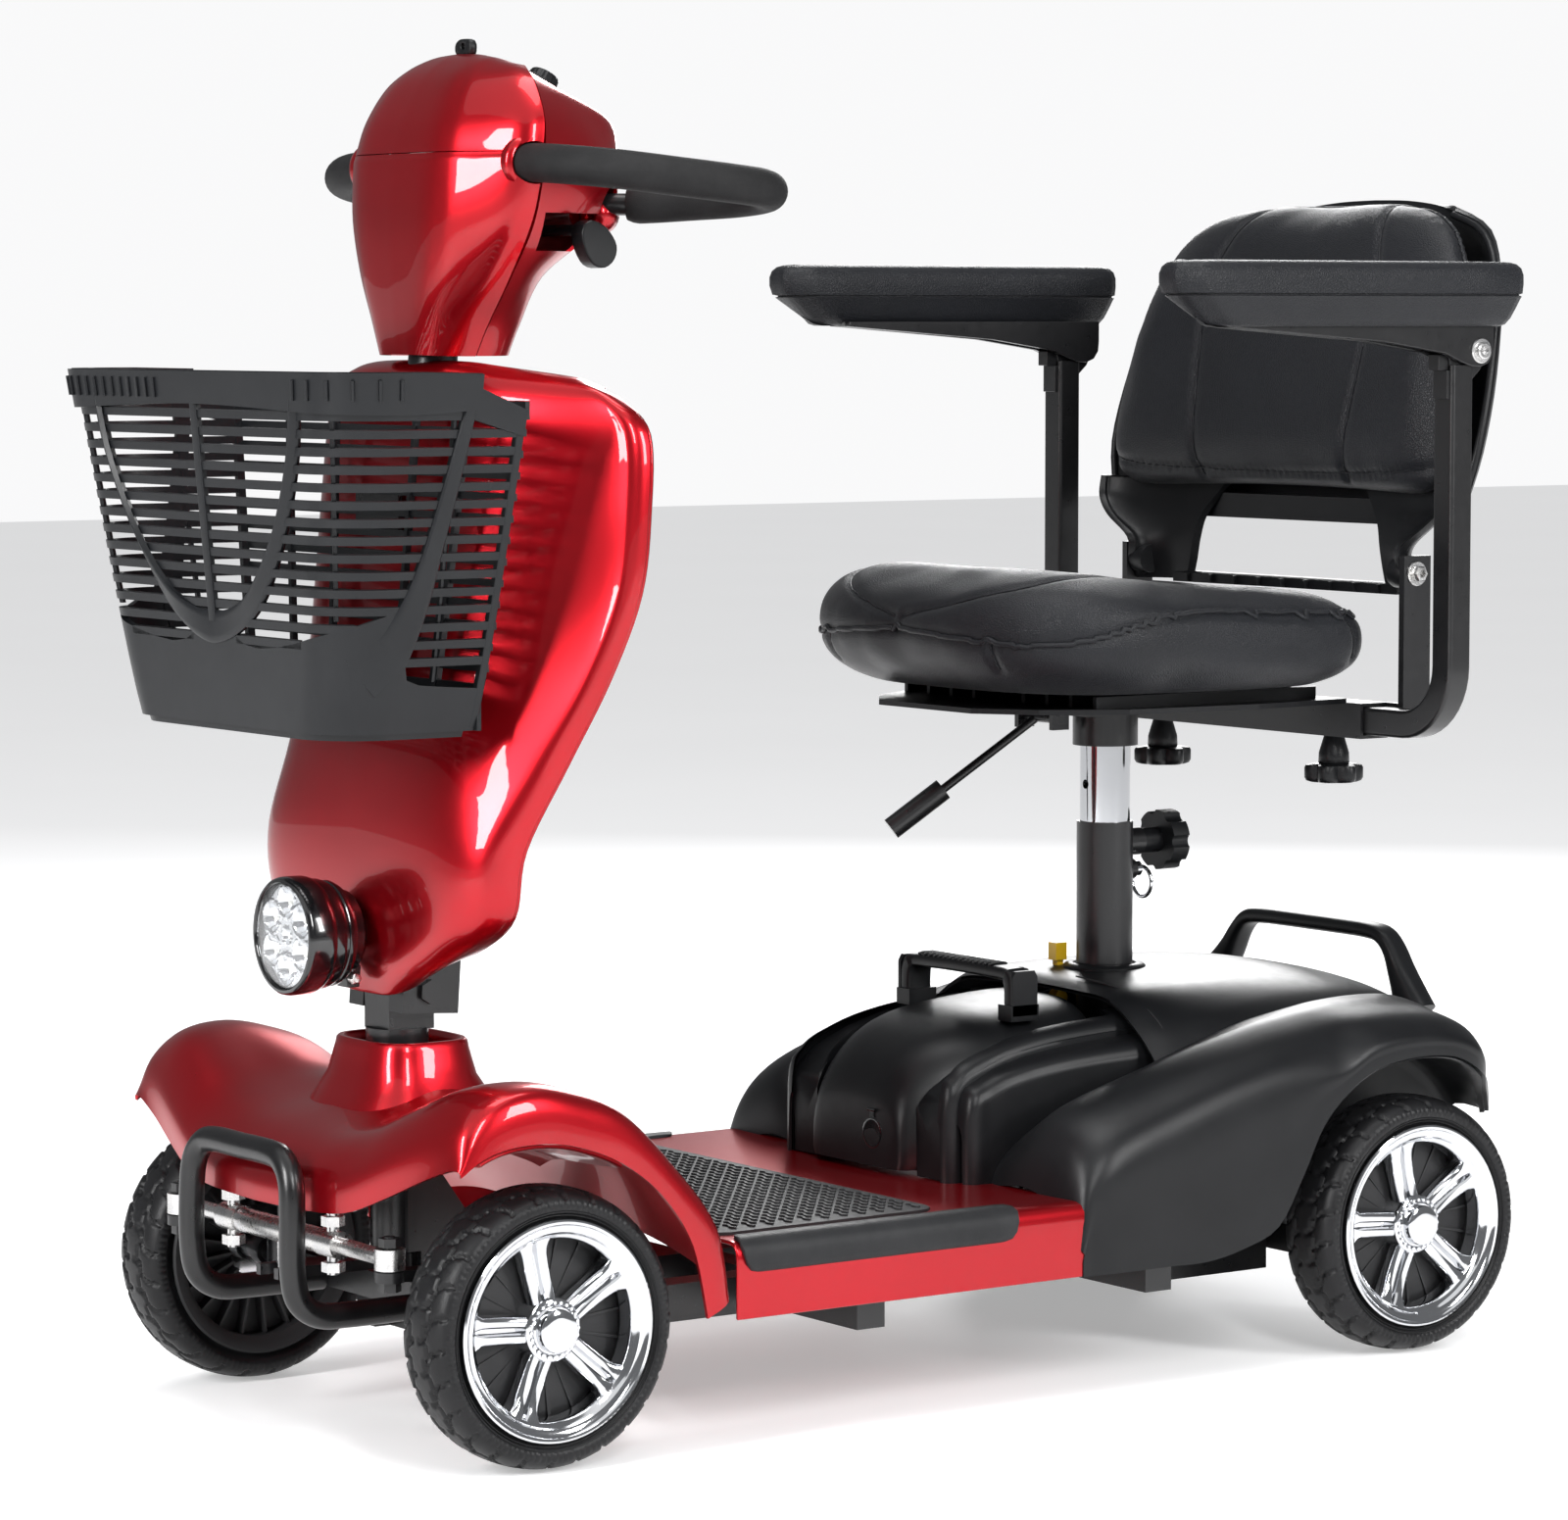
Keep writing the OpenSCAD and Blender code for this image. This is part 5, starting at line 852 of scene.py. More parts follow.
def build_deck():
    # red floor shell: rounded edge, closed front and rear
    prof = [(-235, 92), (-235, 134), (-234, 141), (-231, 145.6), (-226, 147.6), (-219, 148), (219, 148), (226, 147.6), (231, 145.6), (234, 141), (235, 134), (235, 92)]
    P = []
    for i in range(len(prof) - 1):
        for k in range(6 if abs(prof[i][0] - prof[i + 1][0]) > 100 or abs(prof[i][1] - prof[i + 1][1]) > 30 else 2):
            n = 6 if abs(prof[i][0] - prof[i + 1][0]) > 100 or abs(prof[i][1] - prof[i + 1][1]) > 30 else 2
            t = k / n; P.append((prof[i][0] * (1 - t) + prof[i + 1][0] * t, prof[i][1] * (1 - t) + prof[i + 1][1] * t))
    P.append(prof[-1]); rows = []
    for y in np.linspace(-250, 66, 24): rows.append([(x, y, z) for x, z in P])
    mb = MB(); mb.skin(np.array(rows), -3.0)
    ob = mb.make("deck_floor", M["red"], "chassis", ("deck_shell",), bevel=1.6, seg=3)
    # foot mat with wavy ribs; its rear corners taper in and it runs up the rear slope of the front cover
    out = [(-192, -246), (192, -246), (201, -243), (204, -236), (204, -68), (202, -58), (196, -51), (186, -48), (-186, -48), (-196, -51), (-202, -58), (-204, -68), (-204, -236), (-201, -243)]
    mb = MB(); mb.prism(crpath([(x, y, 0) for x, y in out], 1)[:, :2], 148, 150.2, "z")
    def inside(x, y): return abs(x) < 199 and -243 < y < -52
    wave_ribs(mb, inside, lambda x, y: 150.2, -200, 200, -240, -54)
    mb.make("foot_mat_ribbed", M["mat"], "chassis", ("deck_mat",))
    # side strips with rounded ends and a flat ridge
    mb = MB()
    for sg in (-1, 1):
        R = []; ys = [-246, -245, -242.6, -238.6, -232.6, -225] + list(np.linspace(-215, -30, 16)) + [-19, -11.4, -5.4, -1.4, 1, 2]
        for y in ys:
            e = min((y + 246) / 21, (2 - y) / 21, 1); e = max(e, 0); k = math.sqrt(max(1 - (1 - e) ** 2, 0)) * 0.985 + 0.015
            # outline of the strip over the deck edge, from its top inner line to its lower outer line, shrinking to a rounded end
            out_ = [(213.5, 148.4), (214.5, 150.2), (218, 150.8), (225, 150.9), (229.6, 149.8), (233.4, 147.2), (236.2, 143.4), (237.4, 138), (237.8, 131), (237.0, 127.0), (234.8, 125.2)]
            n = len(out_); mid = np.array([231.6, 146.0]); ring = []
            for i_, (x, z) in enumerate(out_):
                t = i_ / (n - 1); m = 0.5 + (t - 0.5) * k; u = m * (n - 1); a = int(min(u, n - 2)); f = u - a
                px = out_[a][0] * (1 - f) + out_[a + 1][0] * f; pz = out_[a][1] * (1 - f) + out_[a + 1][1] * f; ring.append((px, y, pz))
            ring += [(x - (2.2 if z < 147 else 0.4), y, z - (2.6 if x < 231 else 0.8)) for x, y, z in ring[::-1]]
            R.append([(sg * x, y, z) for x, y, z in ring])
        mb.loft(R)
    mb.make("tread_strips", M["mat"], "chassis", ("deck_strips",), sharp=50)
    # mat panel on the rear slope of the front cover
    G = dense(fc_rows, 6, 4); nj = G.shape[1]; mid = nj // 2; sub = G[30:47, mid - 10:mid + 11].copy(); sub[:, :, 2] += 0.6; sub[:, :, 1] += 0.8
    mb = MB(); mb.skin(sub, 1.6)
    for i in range(1, 16):
        for j in range(1 + (i % 2), 19, 2):
            a, b = sub[i, j], sub[i, j + 1]; mb.sweep([a + (0, 0.6, 0.9), (a + b) / 2 + (0, 1.6, 1.6), b + (0, 0.6, 0.9)], [(-1.4, -0.8), (1.4, -0.8), (0.9, 1.0), (-0.9, 1.0)])
    mb.make("toe_mat", M["mat"], "chassis", ())


build_deck()

# ================================================================ rear body
# fender stations: y, inner x, inner z, crown x, crown z, outer lower edge z
fd_st = [(62, 118, 142, 172, 150, 92), (66, 117, 150, 174, 176, 92), (74, 117, 160, 176, 194, 92), (90, 118, 172, 178, 207, 92), (114, 122, 184, 180, 217, 92), (145, 132, 202, 182, 226, 92),
         (180, 142, 220, 185, 236, 92), (214, 149, 235, 187, 245, 98), (250, 152, 247, 188, 253, 112), (275, 153, 254, 188, 258, 150), (295, 153, 258, 188, 261, 186), (320, 153, 262, 188, 264, 210),
         (350, 152, 266, 187, 266, 226), (390, 150, 268, 186, 266, 232), (430, 146, 266, 184, 262, 229), (460, 142, 258, 180, 252, 214), (480, 138, 246, 176, 240, 198), (492, 132, 230, 170, 224, 184), (498, 124, 206, 160, 202, 176)]
# middle body stations: y, half width, side z, crest z
md_st = [(196, 168, 214, 280), (214, 172, 222, 286), (250, 172, 236, 288.5), (300, 172, 248, 289.5), (350, 170, 256, 289.5), (400, 168, 258, 287), (440, 164, 252, 281), (470, 158, 238, 271), (486, 150, 220, 256), (496, 140, 196, 226), (499, 132, 178, 190)]


def build_rear():
    mb = MB(); lining = []
    for sg in (-1, 1):
        rows = []
        for y, xi, zi, xc, zc, zl in fd_st:
            wo = 234.8 if y > 80 else 233
            if y > 455: wo = 234.8 - (y - 455) * 0.9
            zs = zc - 34 if zc - 34 > zl + 6 else zl + (zc - zl) * 0.45
            r = [(xi - 10, y, zi - 12), (xi, y, zi), ((xi + xc) / 2, y, (zi + zc) / 2 + 0.28 * (xc - xi) * 0.18), (xc, y, zc), (xc + (wo - xc) * 0.62, y, zc - (zc - zs) * 0.34), (wo - 1.2, y, zs), (wo, y, zs - (zs - zl) * 0.5), (wo, y, zl)]
            rows.append([(sg * a, b, c) for a, b, c in r])
        G = np.array([crpath(r, 5) for r in rows]); G = np.array(crpath(list(G), 4)); mb.skin(G, 2.8 if sg > 0 else -2.8)
        # inner lining of the wheel arch
        E = [g[-1] for g in G if 212 < g[-1][1] < 500]
        L = np.array([crpath([(e[0], e[1], e[2]), (sg * (abs(e[0]) - 7), e[1], e[2] - 1.0), (sg * 196, e[1], e[2] + 2), (sg * 162, e[1], e[2] + 3), (sg * 152, e[1], e[2] - 14), (sg * 149, e[1], max(e[2] - 80, 93))], 3) for e in E if e[2] > 112]); mb.skin(L, 1.8)
    # middle body
    rows = []
    for y, w, zs, zc in md_st:
        r = [(0, y, zc), (w * 0.30, y, zc - 1.2), (w * 0.58, y, zc - 5.5), (w * 0.80, y, zc - (zc - zs) * 0.42), (w * 0.94, y, zc - (zc - zs) * 0.78), (w, y, zs)]
        rows.append(r)
    G = dense(rows, 4, 5); mb.skin(G, -2.8)
    # two stepped flutes beside the battery, one inside the other
    for w, ys, dz, dn in ((106.0, 32.0, 10.0, 16.0), (121.0, 42.0, 26.0, 20.0)):
        for sg in (-1, 1):
            rows = []
            for y in (ys, ys + 1.2, ys + 4, ys + 9, ys + 18, ys + 34, ys + 60, ys + 95, ys + 135, 200, 226):
                t = (y - ys)
                top = float(np.interp(y + 6, [24, 28, 38, 56, 84, 120, 160, 196, 240], [182, 212, 230, 246, 258, 266, 270, 272, 274])) - dz - 0.05 * max(120 - y, 0) * 0
                if t < 1: top = 150 + (top - 150) * 0.72
                elif t < 3: top = 150 + (top - 150) * 0.88
                g = w - (7 if t < 1 else 4 if t < 3 else 1.5 if t < 6 else 0) + 0.10 * max(y - 60, 0) * (1 if w > 110 else 0.25)
                rows.append([(sg * (g - 26), y, top + 2.0), (sg * (g - 14), y, top), (sg * (g - 5), y, top - 3), (sg * (g - 1), y, top - 9), (sg * g, y, top - 20), (sg * (g + 0.6), y, 148)])
            mb.skin(np.array(crpath([crpath(r, 4) for r in rows], 3)), 2.4 if sg > 0 else -2.4)
    # lining that closes the bay against the pack
    bw = [(21, 44), (22, 52), (23, 57), (27, 61), (34, 65), (46, 71), (62, 79), (84, 88), (110, 93), (140, 94), (196, 94.4)]
    bt = [(24, 182), (28, 200), (38, 218), (56, 234), (84, 246), (120, 256), (160, 262), (196, 266)]
    for sg in (-1, 1):
        R = []
        for y in (33, 36, 40, 46, 54, 62, 74, 88, 104, 124, 150, 175, 196):
            w = np.interp(y, [q[0] for q in bw], [q[1] for q in bw]) + 1.6; t = np.interp(y, [q[0] for q in bt], [q[1] for q in bt]) - 5
            R.append([(sg * w, y, 149), (sg * 99.5, y, 149), (sg * 99.5, y, t + 2), (sg * (w + 1.5), y, t), (sg * w, y, t - 2)])
        lining.append(R)
    # front wall of the flutes, down to the deck
    for sg in (-1, 1):
        mb.prism([(sg * 60, 33), (sg * 98, 33), (sg * 104, 36), (sg * 106, 43), (sg * 117, 45), (sg * 121, 52), (sg * 121, 60), (sg * 60, 60)] if sg > 0 else
                 [(sg * 60, 60), (sg * 121, 60), (sg * 121, 52), (sg * 117, 45), (sg * 106, 43), (sg * 104, 36), (sg * 98, 33), (sg * 60, 33)], 147, 176, "z")
    # rear wall
    rows = []
    for z, y, w in ((193, 497.4, 148), (176, 499, 150), (160, 499.4, 150), (130, 498, 146), (110, 494, 140)): rows.append([(0, y, z), (w * 0.5, y, z), (w * 0.85, y - 2, z), (w, y - 8, z)])
    mb.skin(dense(rows, 3, 4), 2.6)
    ob = mb.make("rear_body_cover", M["plastic"], None, sharp=46)
    q = MB(); q.box((-98.5, 10, 60), (98.5, 197, 340)); c1 = q.make("cutter", M["dark"]); c2 = cutter([(0, 267, 180), (0, 267, 340)], 25.5, 48)
    # the bay is cut by removing faces, so the shells stay simple; the post hole is not cut
    me = ob.data; bm = bmesh.new(); bm.from_mesh(me)
    for co, no in (((0.0965, 0, 0), (1, 0, 0)), ((-0.0965, 0, 0), (1, 0, 0)), ((0, 0.197, 0), (0, 1, 0))):
        geo = [f for f in bm.faces] + [e for e in bm.edges] + [v for v in bm.verts]
        bmesh.ops.bisect_plane(bm, geom=geo, plane_co=co, plane_no=no)
    kill = [f for f in bm.faces if abs(f.calc_center_median().x) < 0.0965 and f.calc_center_median().y < 0.197]
    bmesh.ops.delete(bm, geom=kill, context="FACES"); bm.to_mesh(me); bm.free()
    for c in (c1, c2): bpy.data.objects.remove(c)
    finish_obj(ob, 0, sharp=46)
    place(ob, "chassis", ("rear_cover",))
    mb = MB()
    for R in lining: mb.loft(R)
    mb.make("bay_lining", M["plastic"], "chassis", (), sharp=46)
    # post collar
    mb = MB(); mb.lathe([(23.0, 284), (33, 284), (33, 289.6), (31, 291.4), (25.4, 291.8), (23.0, 290)], "z", 64, (0, 267, 0)); mb.make("post_collar", M["plastic"], "chassis", (), sharp=40)
    # parting lines
    mb = MB()
    for sg in (-1, 1):
        P = crpath([(sg * 34, 212, 287.6), (sg * 80, 213, 284), (sg * 112, 214, 274.0), (sg * 134, 214, 262), (sg * 150, 214, 246)], 5); mb.sweep(P, [(-0.6, -0.8), (0.6, -0.8), (0.6, 0.35), (-0.6, 0.35)])
    mb.make("parting_lines", M["dark"], "chassis", ())


build_rear()


def build_battery():
    # rounded pack: stations y, half width, top z, corner power
    st = [(20.8, 44, 176), (21.6, 52, 196), (23, 57, 208), (27, 61, 220), (34, 65, 232), (46, 71, 244), (62, 79, 254), (84, 88, 262), (110, 93, 267.5), (140, 94, 271), (170, 94, 273.4), (192, 94, 274), (194, 93, 272)]
    R = []
    for y, w, zt in st:
        ring = [(-w * 0.96, y, 152.5), (w * 0.96, y, 152.5)]
        for a in np.linspace(0, 180, 33):
            c, d = math.cos(math.radians(a)), math.sin(math.radians(a)); n = 3.4
            ring.append((w * abs(c) ** (2 / n) * (1 if c >= 0 else -1), y, 158 + (zt - 158) * abs(d) ** (2 / n)))
        R.append(ring)
    R = np.array(R); R = np.array(crpath(list(R), 4)); mb = MB(); mb.loft(R)
    mb.make("battery_pack_case", M["plastic"], "battery_pack", ("battery_case",), sharp=50)
    # carry handle: flat bar with finger ridges on deep feet
    mb = MB()
    sec = lambda w, h: [(-w, -h), (w, -h), (w + 1, -h + 2), (w + 1, h - 4), (w - 2, h), (-w + 2, h), (-w - 1, h - 4), (-w - 1, -h + 2)]
    P = crpath([(-67, 130, 262), (-67.5, 130, 280), (-66, 130, 292), (-60, 130, 297), (-34, 130, 298), (0, 130, 298.4), (34, 130, 298), (60, 130, 297), (66, 130, 292), (67.5, 130, 280), (67, 130, 262)], 4)
    R = []
    for i, p in enumerate(P):
        t = P[min(i + 1, len(P) - 1)] - P[max(i - 1, 0)]; t = t / np.linalg.norm(t); s = np.array([0, 1, 0]); u = np.cross(s, t)
        foot = 1.0 if abs(p[0]) > 63 else 0.0
        hw, hh = 10.0 + 2.0 * foot, 5.2 + 1.6 * foot
        ring = []
        for a in np.linspace(0, 2 * np.pi, 24, endpoint=False):
            c, d = math.cos(a), math.sin(a); ring.append(p + s * hw * abs(c) ** 0.55 * np.sign(c) + u * hh * abs(d) ** 0.55 * np.sign(d))
        R.append(ring)
    mb.loft(R)
    for x in np.linspace(-52, 40, 15): mb.tube([(x, 121.5, 303.2), (x, 125, 304), (x, 135, 304), (x, 138.5, 303.2)], 1.2, 8)
    # outer foot blocks with a ledge
    for sg in (-1, 1):
        mb.prism([(118, 266), (142, 266), (142, 296), (139, 301), (121, 301), (118, 296)], 71.6 if sg > 0 else -75, 75 if sg > 0 else -71.6, "x")
        mb.box((58 if sg > 0 else -75, 116.6, 262), (75 if sg > 0 else -58, 143.4, 274.6))
    mb.make("battery_carry_handle", M["plastic"], "battery_pack", ("battery_handle",), bevel=0.9)
    # charge cap with a tab
    mb = MB(); prof = [(0, 23.4), (12.8, 23.4), (13, 22.4), (12.6, 21.0), (11.4, 20.5), (9.4, 20.9), (0, 21.1)]
    mb.lathe(prof, "y", 48, (24, 0, 178)); mb.prism([(21, 189), (27, 189), (26.4, 197.2), (21.6, 197.2)], 20.5, 23.2, "y")
    mb.tube([(19.2, 20.6, 196), (28.8, 20.6, 196)], 1.2, 12)
    mb.make("charge_socket_cap", M["gloss"], "charge_flap", ("charge_cap",), sharp=35)


build_battery()


def build_rear_handle():
    # flared legs, arched bar, rounded grip
    P = crpath([(-128, 484, 246), (-118, 486, 262), (-106, 488, 280), (-96, 489, 296), (-84, 489, 306.5), (-66, 489, 309.5), (-30, 489, 310), (0, 489, 310), (30, 489, 310), (66, 489, 309.5),
                (84, 489, 306.5), (96, 489, 296), (106, 488, 280), (118, 486, 262), (128, 484, 246)], 5)
    R = []
    for i, p in enumerate(P):
        t = P[min(i + 1, len(P) - 1)] - P[max(i - 1, 0)]; t = t / np.linalg.norm(t); s = np.array([0, 1, 0]); u = np.cross(s, t)
        fl = min(max((300 - p[2]) / 54, 0), 1); hw = 10.5 + 2 * fl; hh = 6.6 + 13 * fl ** 1.6
        ring = []
        for a in np.linspace(0, 2 * np.pi, 28, endpoint=False):
            c, d = math.cos(a), math.sin(a); ring.append(p + s * hw * abs(c) ** 0.7 * np.sign(c) + u * hh * abs(d) ** 0.7 * np.sign(d))
        R.append(ring)
    mb = MB(); mb.loft(R)
    mb.make("rear_carry_handle", M["plastic"], "chassis", ("rear_grab_handle",), sharp=60)


build_rear_handle()

# ================================================================ bumper
bumper_ctrl = [[0, -519, 212], [40, -519, 212], [58, -519, 208], [70, -520, 194], [73, -521, 170], [73, -521, 132],
               [73, -516, 110], [73, -500, 98], [73, -475, 96], [73, -412.5, 96]]
P = crpath(bumper_ctrl, 8); PL = P[:0:-1].copy(); PL[:, 0] *= -1; P = np.vstack([PL, P])
mb = MB(); mb.tube(P, 9.4, 28, up=(0.3, -1, 0.25)); mb.make("bumper_tube", M["frame"], "chassis", ("bumper",), sharp=60)


# ================================================================ seat
def to_object(mb, name):
    me = bpy.data.meshes.new(name); me.from_pydata((np.vstack(mb.v) * MM).tolist(), [], mb.f)
    bm = bmesh.new(); bm.from_mesh(me); bmesh.ops.recalc_face_normals(bm, faces=bm.faces); bm.to_mesh(me); bm.free()
    ob = bpy.data.objects.new(name, me); bpy.context.scene.collection.objects.link(ob); return ob


def puff(ob, cap_mm, voxel=6.0, pressure=4.0, frames_=18, flat=None, pin=None):
    """swells a padded form by cloth simulation and keeps the result as its mesh"""
    sc = bpy.context.scene
    r = ob.modifiers.new("remesh", "REMESH"); r.mode = "VOXEL"; r.voxel_size = voxel * MM; r.adaptivity = 0
    dg = bpy.context.evaluated_depsgraph_get(); me = bpy.data.meshes.new_from_object(ob.evaluated_get(dg)); ob.modifiers.clear(); ob.data = me
    base = np.empty(len(me.vertices) * 3); me.vertices.foreach_get("co", base); base = base.reshape(-1, 3).copy()
    if pin is not None:
        vg = ob.vertex_groups.new(name="pin")
        for i, p in enumerate(base * 1000):
            w = pin(p)
            if w > 0: vg.add([i], w, "REPLACE")
    c = ob.modifiers.new("Cloth", "CLOTH"); s = c.settings; s.use_pressure = True; s.uniform_pressure_force = pressure
    s.mass = 0.3; s.tension_stiffness = 18; s.compression_stiffness = 18; s.shear_stiffness = 6; s.bending_stiffness = 0.8; s.quality = 4
    s.effector_weights.gravity = 0; c.collision_settings.use_collision = False
    if pin is not None: s.vertex_group_mass = "pin"
    c.point_cache.frame_start = 1; c.point_cache.frame_end = 30
    for f in range(1, frames_ + 1): sc.frame_set(f)
    dg = bpy.context.evaluated_depsgraph_get(); m2 = bpy.data.meshes.new_from_object(ob.evaluated_get(dg))
    co = np.empty(len(m2.vertices) * 3); m2.vertices.foreach_get("co", co); co = co.reshape(-1, 3); ob.modifiers.clear(); sc.frame_set(1)
    d = co - base; l = np.linalg.norm(d, axis=1, keepdims=True); cap = cap_mm * MM
    d = d * (cap * np.tanh(l / cap) / np.maximum(l, 1e-9)); base = base + d
    if flat: base = flat(base)
    me.vertices.foreach_set("co", base.reshape(-1)); me.update(); ob.vertex_groups.clear()
    # relax the voxel steps, then one subdivision
    sm = ob.modifiers.new("smooth", "SMOOTH"); sm.factor = 0.5; sm.iterations = 22
    sb = ob.modifiers.new("sub", "SUBSURF"); sb.levels = sb.render_levels = 1
    dg = bpy.context.evaluated_depsgraph_get(); me = bpy.data.meshes.new_from_object(ob.evaluated_get(dg)); ob.modifiers.clear(); ob.data = me
    me.polygons.foreach_set("use_smooth", [True] * len(me.polygons)); return ob


def surface_of(ob):
    from mathutils.bvhtree import BVHTree
    me = ob.data; return BVHTree.FromPolygons([v.co.copy() for v in me.vertices], [tuple(p.vertices) for p in me.polygons])


def lay(tree, P, lift=0.0):
    out = []
    for p in P:
        q, n, i, d = tree.find_nearest(Vector(p) * MM); out.append(np.array(q + n * lift * MM) * 1000)
    return np.array(out)


def crease(ob, P, depth, width):
    """sinks a seam into a pad"""
    me = ob.data; co = np.empty(len(me.vertices) * 3); me.vertices.foreach_get("co", co); co = co.reshape(-1, 3) * 1000
    no = np.empty(len(me.vertices) * 3); me.vertices.foreach_get("normal", no); no = no.reshape(-1, 3); P = np.asarray(P)
    best = np.full(len(co), 1e9)
    for i in range(len(P)): best = np.minimum(best, np.linalg.norm(co - P[i], axis=1))
    co -= no * (depth * np.exp(-(best / width) ** 2))[:, None]; me.vertices.foreach_set("co", (co * MM).reshape(-1)); me.update()


def seams(ob, name, body, paths, piping=(), rr=1.7, follows=None):
    t = surface_of(ob); L = []
    for p in paths:
        Q = lay(t, crpath(p, 14)); L.append(Q); crease(ob, Q, 2.6, 4.2)
    for p in piping: crease(ob, lay(t, crpath(p, 14)), 1.6, 5.0)
    t = surface_of(ob); mb = MB()
    for Q in L:
        W = lay(t, Q, 0.25); mb.tube(W, 0.55, 6)
    for p in piping: mb.tube(lay(t, crpath(p, 14), 1.0), rr, 10)
    if mb.v: mb.make(name, M["leather"], body, (), sharp=60)


# seat cushion: nose dropped and rounded, wings at the front sides, hollow in the middle
sc_st = [[54, 50, 560, 576, 0], [57, 78, 550, 586, 0], [63, 103, 542, 594, 0], [74, 131, 534, 601, 1], [93, 157, 526, 606, 3], [118, 175, 521, 608, 6],
         [152, 187, 517, 604, 9], [198, 192, 516, 597, 11], [260, 194, 516, 590, 11], [330, 192, 517, 586, 9], [382, 184, 520, 586, 5], [404, 164, 528, 582, 1], [413, 128, 538, 575, 0]]


def sc_ring(s, k=0.975):
    y, w, lo, hi, sd = s; w *= k; hi -= 2; R = []
    for a in np.arange(0, 360, 5.0):
        c, d = math.cos(math.radians(a)), math.sin(math.radians(a)); x = w * abs(c) ** 0.5 * np.sign(c)
        m, h = (lo + hi) / 2, (hi - lo) / 2
        R.append((x, y, m + h * abs(d) ** 0.66 * np.sign(d) + (sd * (x / w) ** 2 if d > 0 else 0)))
    return np.array(R)


def build_seat():
    mb = MB(); mb.loft(np.array(crpath([sc_ring(s) for s in sc_st], 3))); ob = to_object(mb, "seat_cushion_pad")
    def flat(c):
        c = c.copy(); lo = c[:, 2] < 0.5165; c[lo, 2] = 0.5165; c[:, 1] = np.clip(c[:, 1], 0.0535, 0.4157); return c
    puff(ob, 7.0, 6.0, 4.0, 16, flat)
    ob.data.materials.clear(); ob.data.materials.append(M["leather"])
    pipe = []
    for sg in (-1, 1):
        pipe.append([(0, 53, 566), (sg * 40, 54, 563), (sg * 80, 58, 560), (sg * 112, 66, 557), (sg * 138, 80, 556), (sg * 160, 100, 558), (sg * 176, 124, 563), (sg * 187, 156, 573), (sg * 191, 195, 585), (sg * 190, 250, 592),
                     (sg * 187, 320, 591), (sg * 179, 378, 588), (sg * 150, 404, 584), (sg * 90, 410, 580), (0, 412, 577)])
    sm = [[(sg * 6, 54, 578), (sg * 66, 66, 594), (sg * 108, 92, 605), (sg * 122, 130, 606), (sg * 116, 190, 600), (sg * 104, 260, 593), (sg * 94, 340, 590), (sg * 88, 404, 583)] for sg in (-1, 1)]
    sm += [[(sg * 188, 382, 586), (sg * 186, 384, 560), (sg * 182, 385, 530)] for sg in (-1, 1)] + [[(sg * 108, 64, 555), (sg * 108, 68, 546), (sg * 106, 78, 534)] for sg in (-1, 1)]
    seams(ob, "seat_piping", "seat", sm, pipe, 1.9)
    place(ob, "seat", ("seat_cushion",))


build_seat()

bc_st = [[662, 180, 444, 470], [668, 200, 438, 476], [680, 211, 434.5, 480], [704, 216, 436, 484], [740, 217, 443, 491], [790, 211, 453, 502], [830, 199, 463, 512], [860, 182, 472, 519], [880, 160, 480, 523], [893, 130, 491, 525], [900, 88, 504, 524]]


def bc_ring(s, k=0.98):
    z, w, y0, y1 = s; w *= k; y0 += 2.0; R = []
    for a in np.arange(0, 360, 5.0):
        c, d = math.cos(math.radians(a)), math.sin(math.radians(a)); x = w * abs(c) ** 0.5 * np.sign(c); m, h = (y0 + y1) / 2, (y1 - y0) / 2
        R.append((x, m + h * abs(d) ** 0.66 * np.sign(d) - 22 * (x / 226) ** 2, z))
    return np.array(R)


def build_back():
    mb = MB(); mb.loft(np.array(crpath([bc_ring(s) for s in bc_st], 3))); ob = to_object(mb, "back_cushion_pad")
    puff(ob, 6.0, 6.0, 4.0, 16); ob.data.materials.clear(); ob.data.materials.append(M["leather"])
    sm = [[(sg * 74, 500, 900), (sg * 92, 474, 868), (sg * 104, 462, 828), (sg * 100, 450, 751), (sg * 94, 440, 700), (sg * 90, 438, 672)] for sg in (-1, 1)]
    sm.append([(-206, 424, 686), (-110, 436, 681), (0, 440, 679), (110, 436, 681), (206, 424, 686)])
    pipe = [[(-214, 448, 690), (-218, 455, 740), (-213, 466, 790), (-202, 480, 830), (-184, 492, 862), (-158, 504, 884), (-118, 513, 898), (-60, 517, 903), (0, 518, 904),
             (60, 517, 903), (118, 513, 898), (158, 504, 884), (184, 492, 862), (202, 480, 830), (213, 466, 790), (218, 455, 740), (214, 448, 690)]]
    seams(ob, "back_piping", "backrest", sm, pipe, 1.8)
    place(ob, "backrest", ("back_cushion",))


build_back()

bs_rows = [
    [[0, 482, 655], [70, 481, 655], [140, 474, 655], [196, 462, 655], [214, 448, 655]], [[0, 492, 700], [80, 491, 700], [150, 484, 700], [208, 470, 700], [226, 455, 700]],
    [[0, 506, 760], [80, 505, 760], [150, 498, 760], [205, 486, 760], [223, 471, 760]], [[0, 523, 830], [80, 522, 830], [140, 516, 830], [190, 504, 830], [208, 490, 830]],
    [[0, 538, 875], [70, 537, 875], [120, 532, 875], [160, 522, 872], [174, 508, 870]], [[0, 546, 900], [40, 545, 899], [80, 541, 895], [112, 532, 889], [124, 520, 886]]]


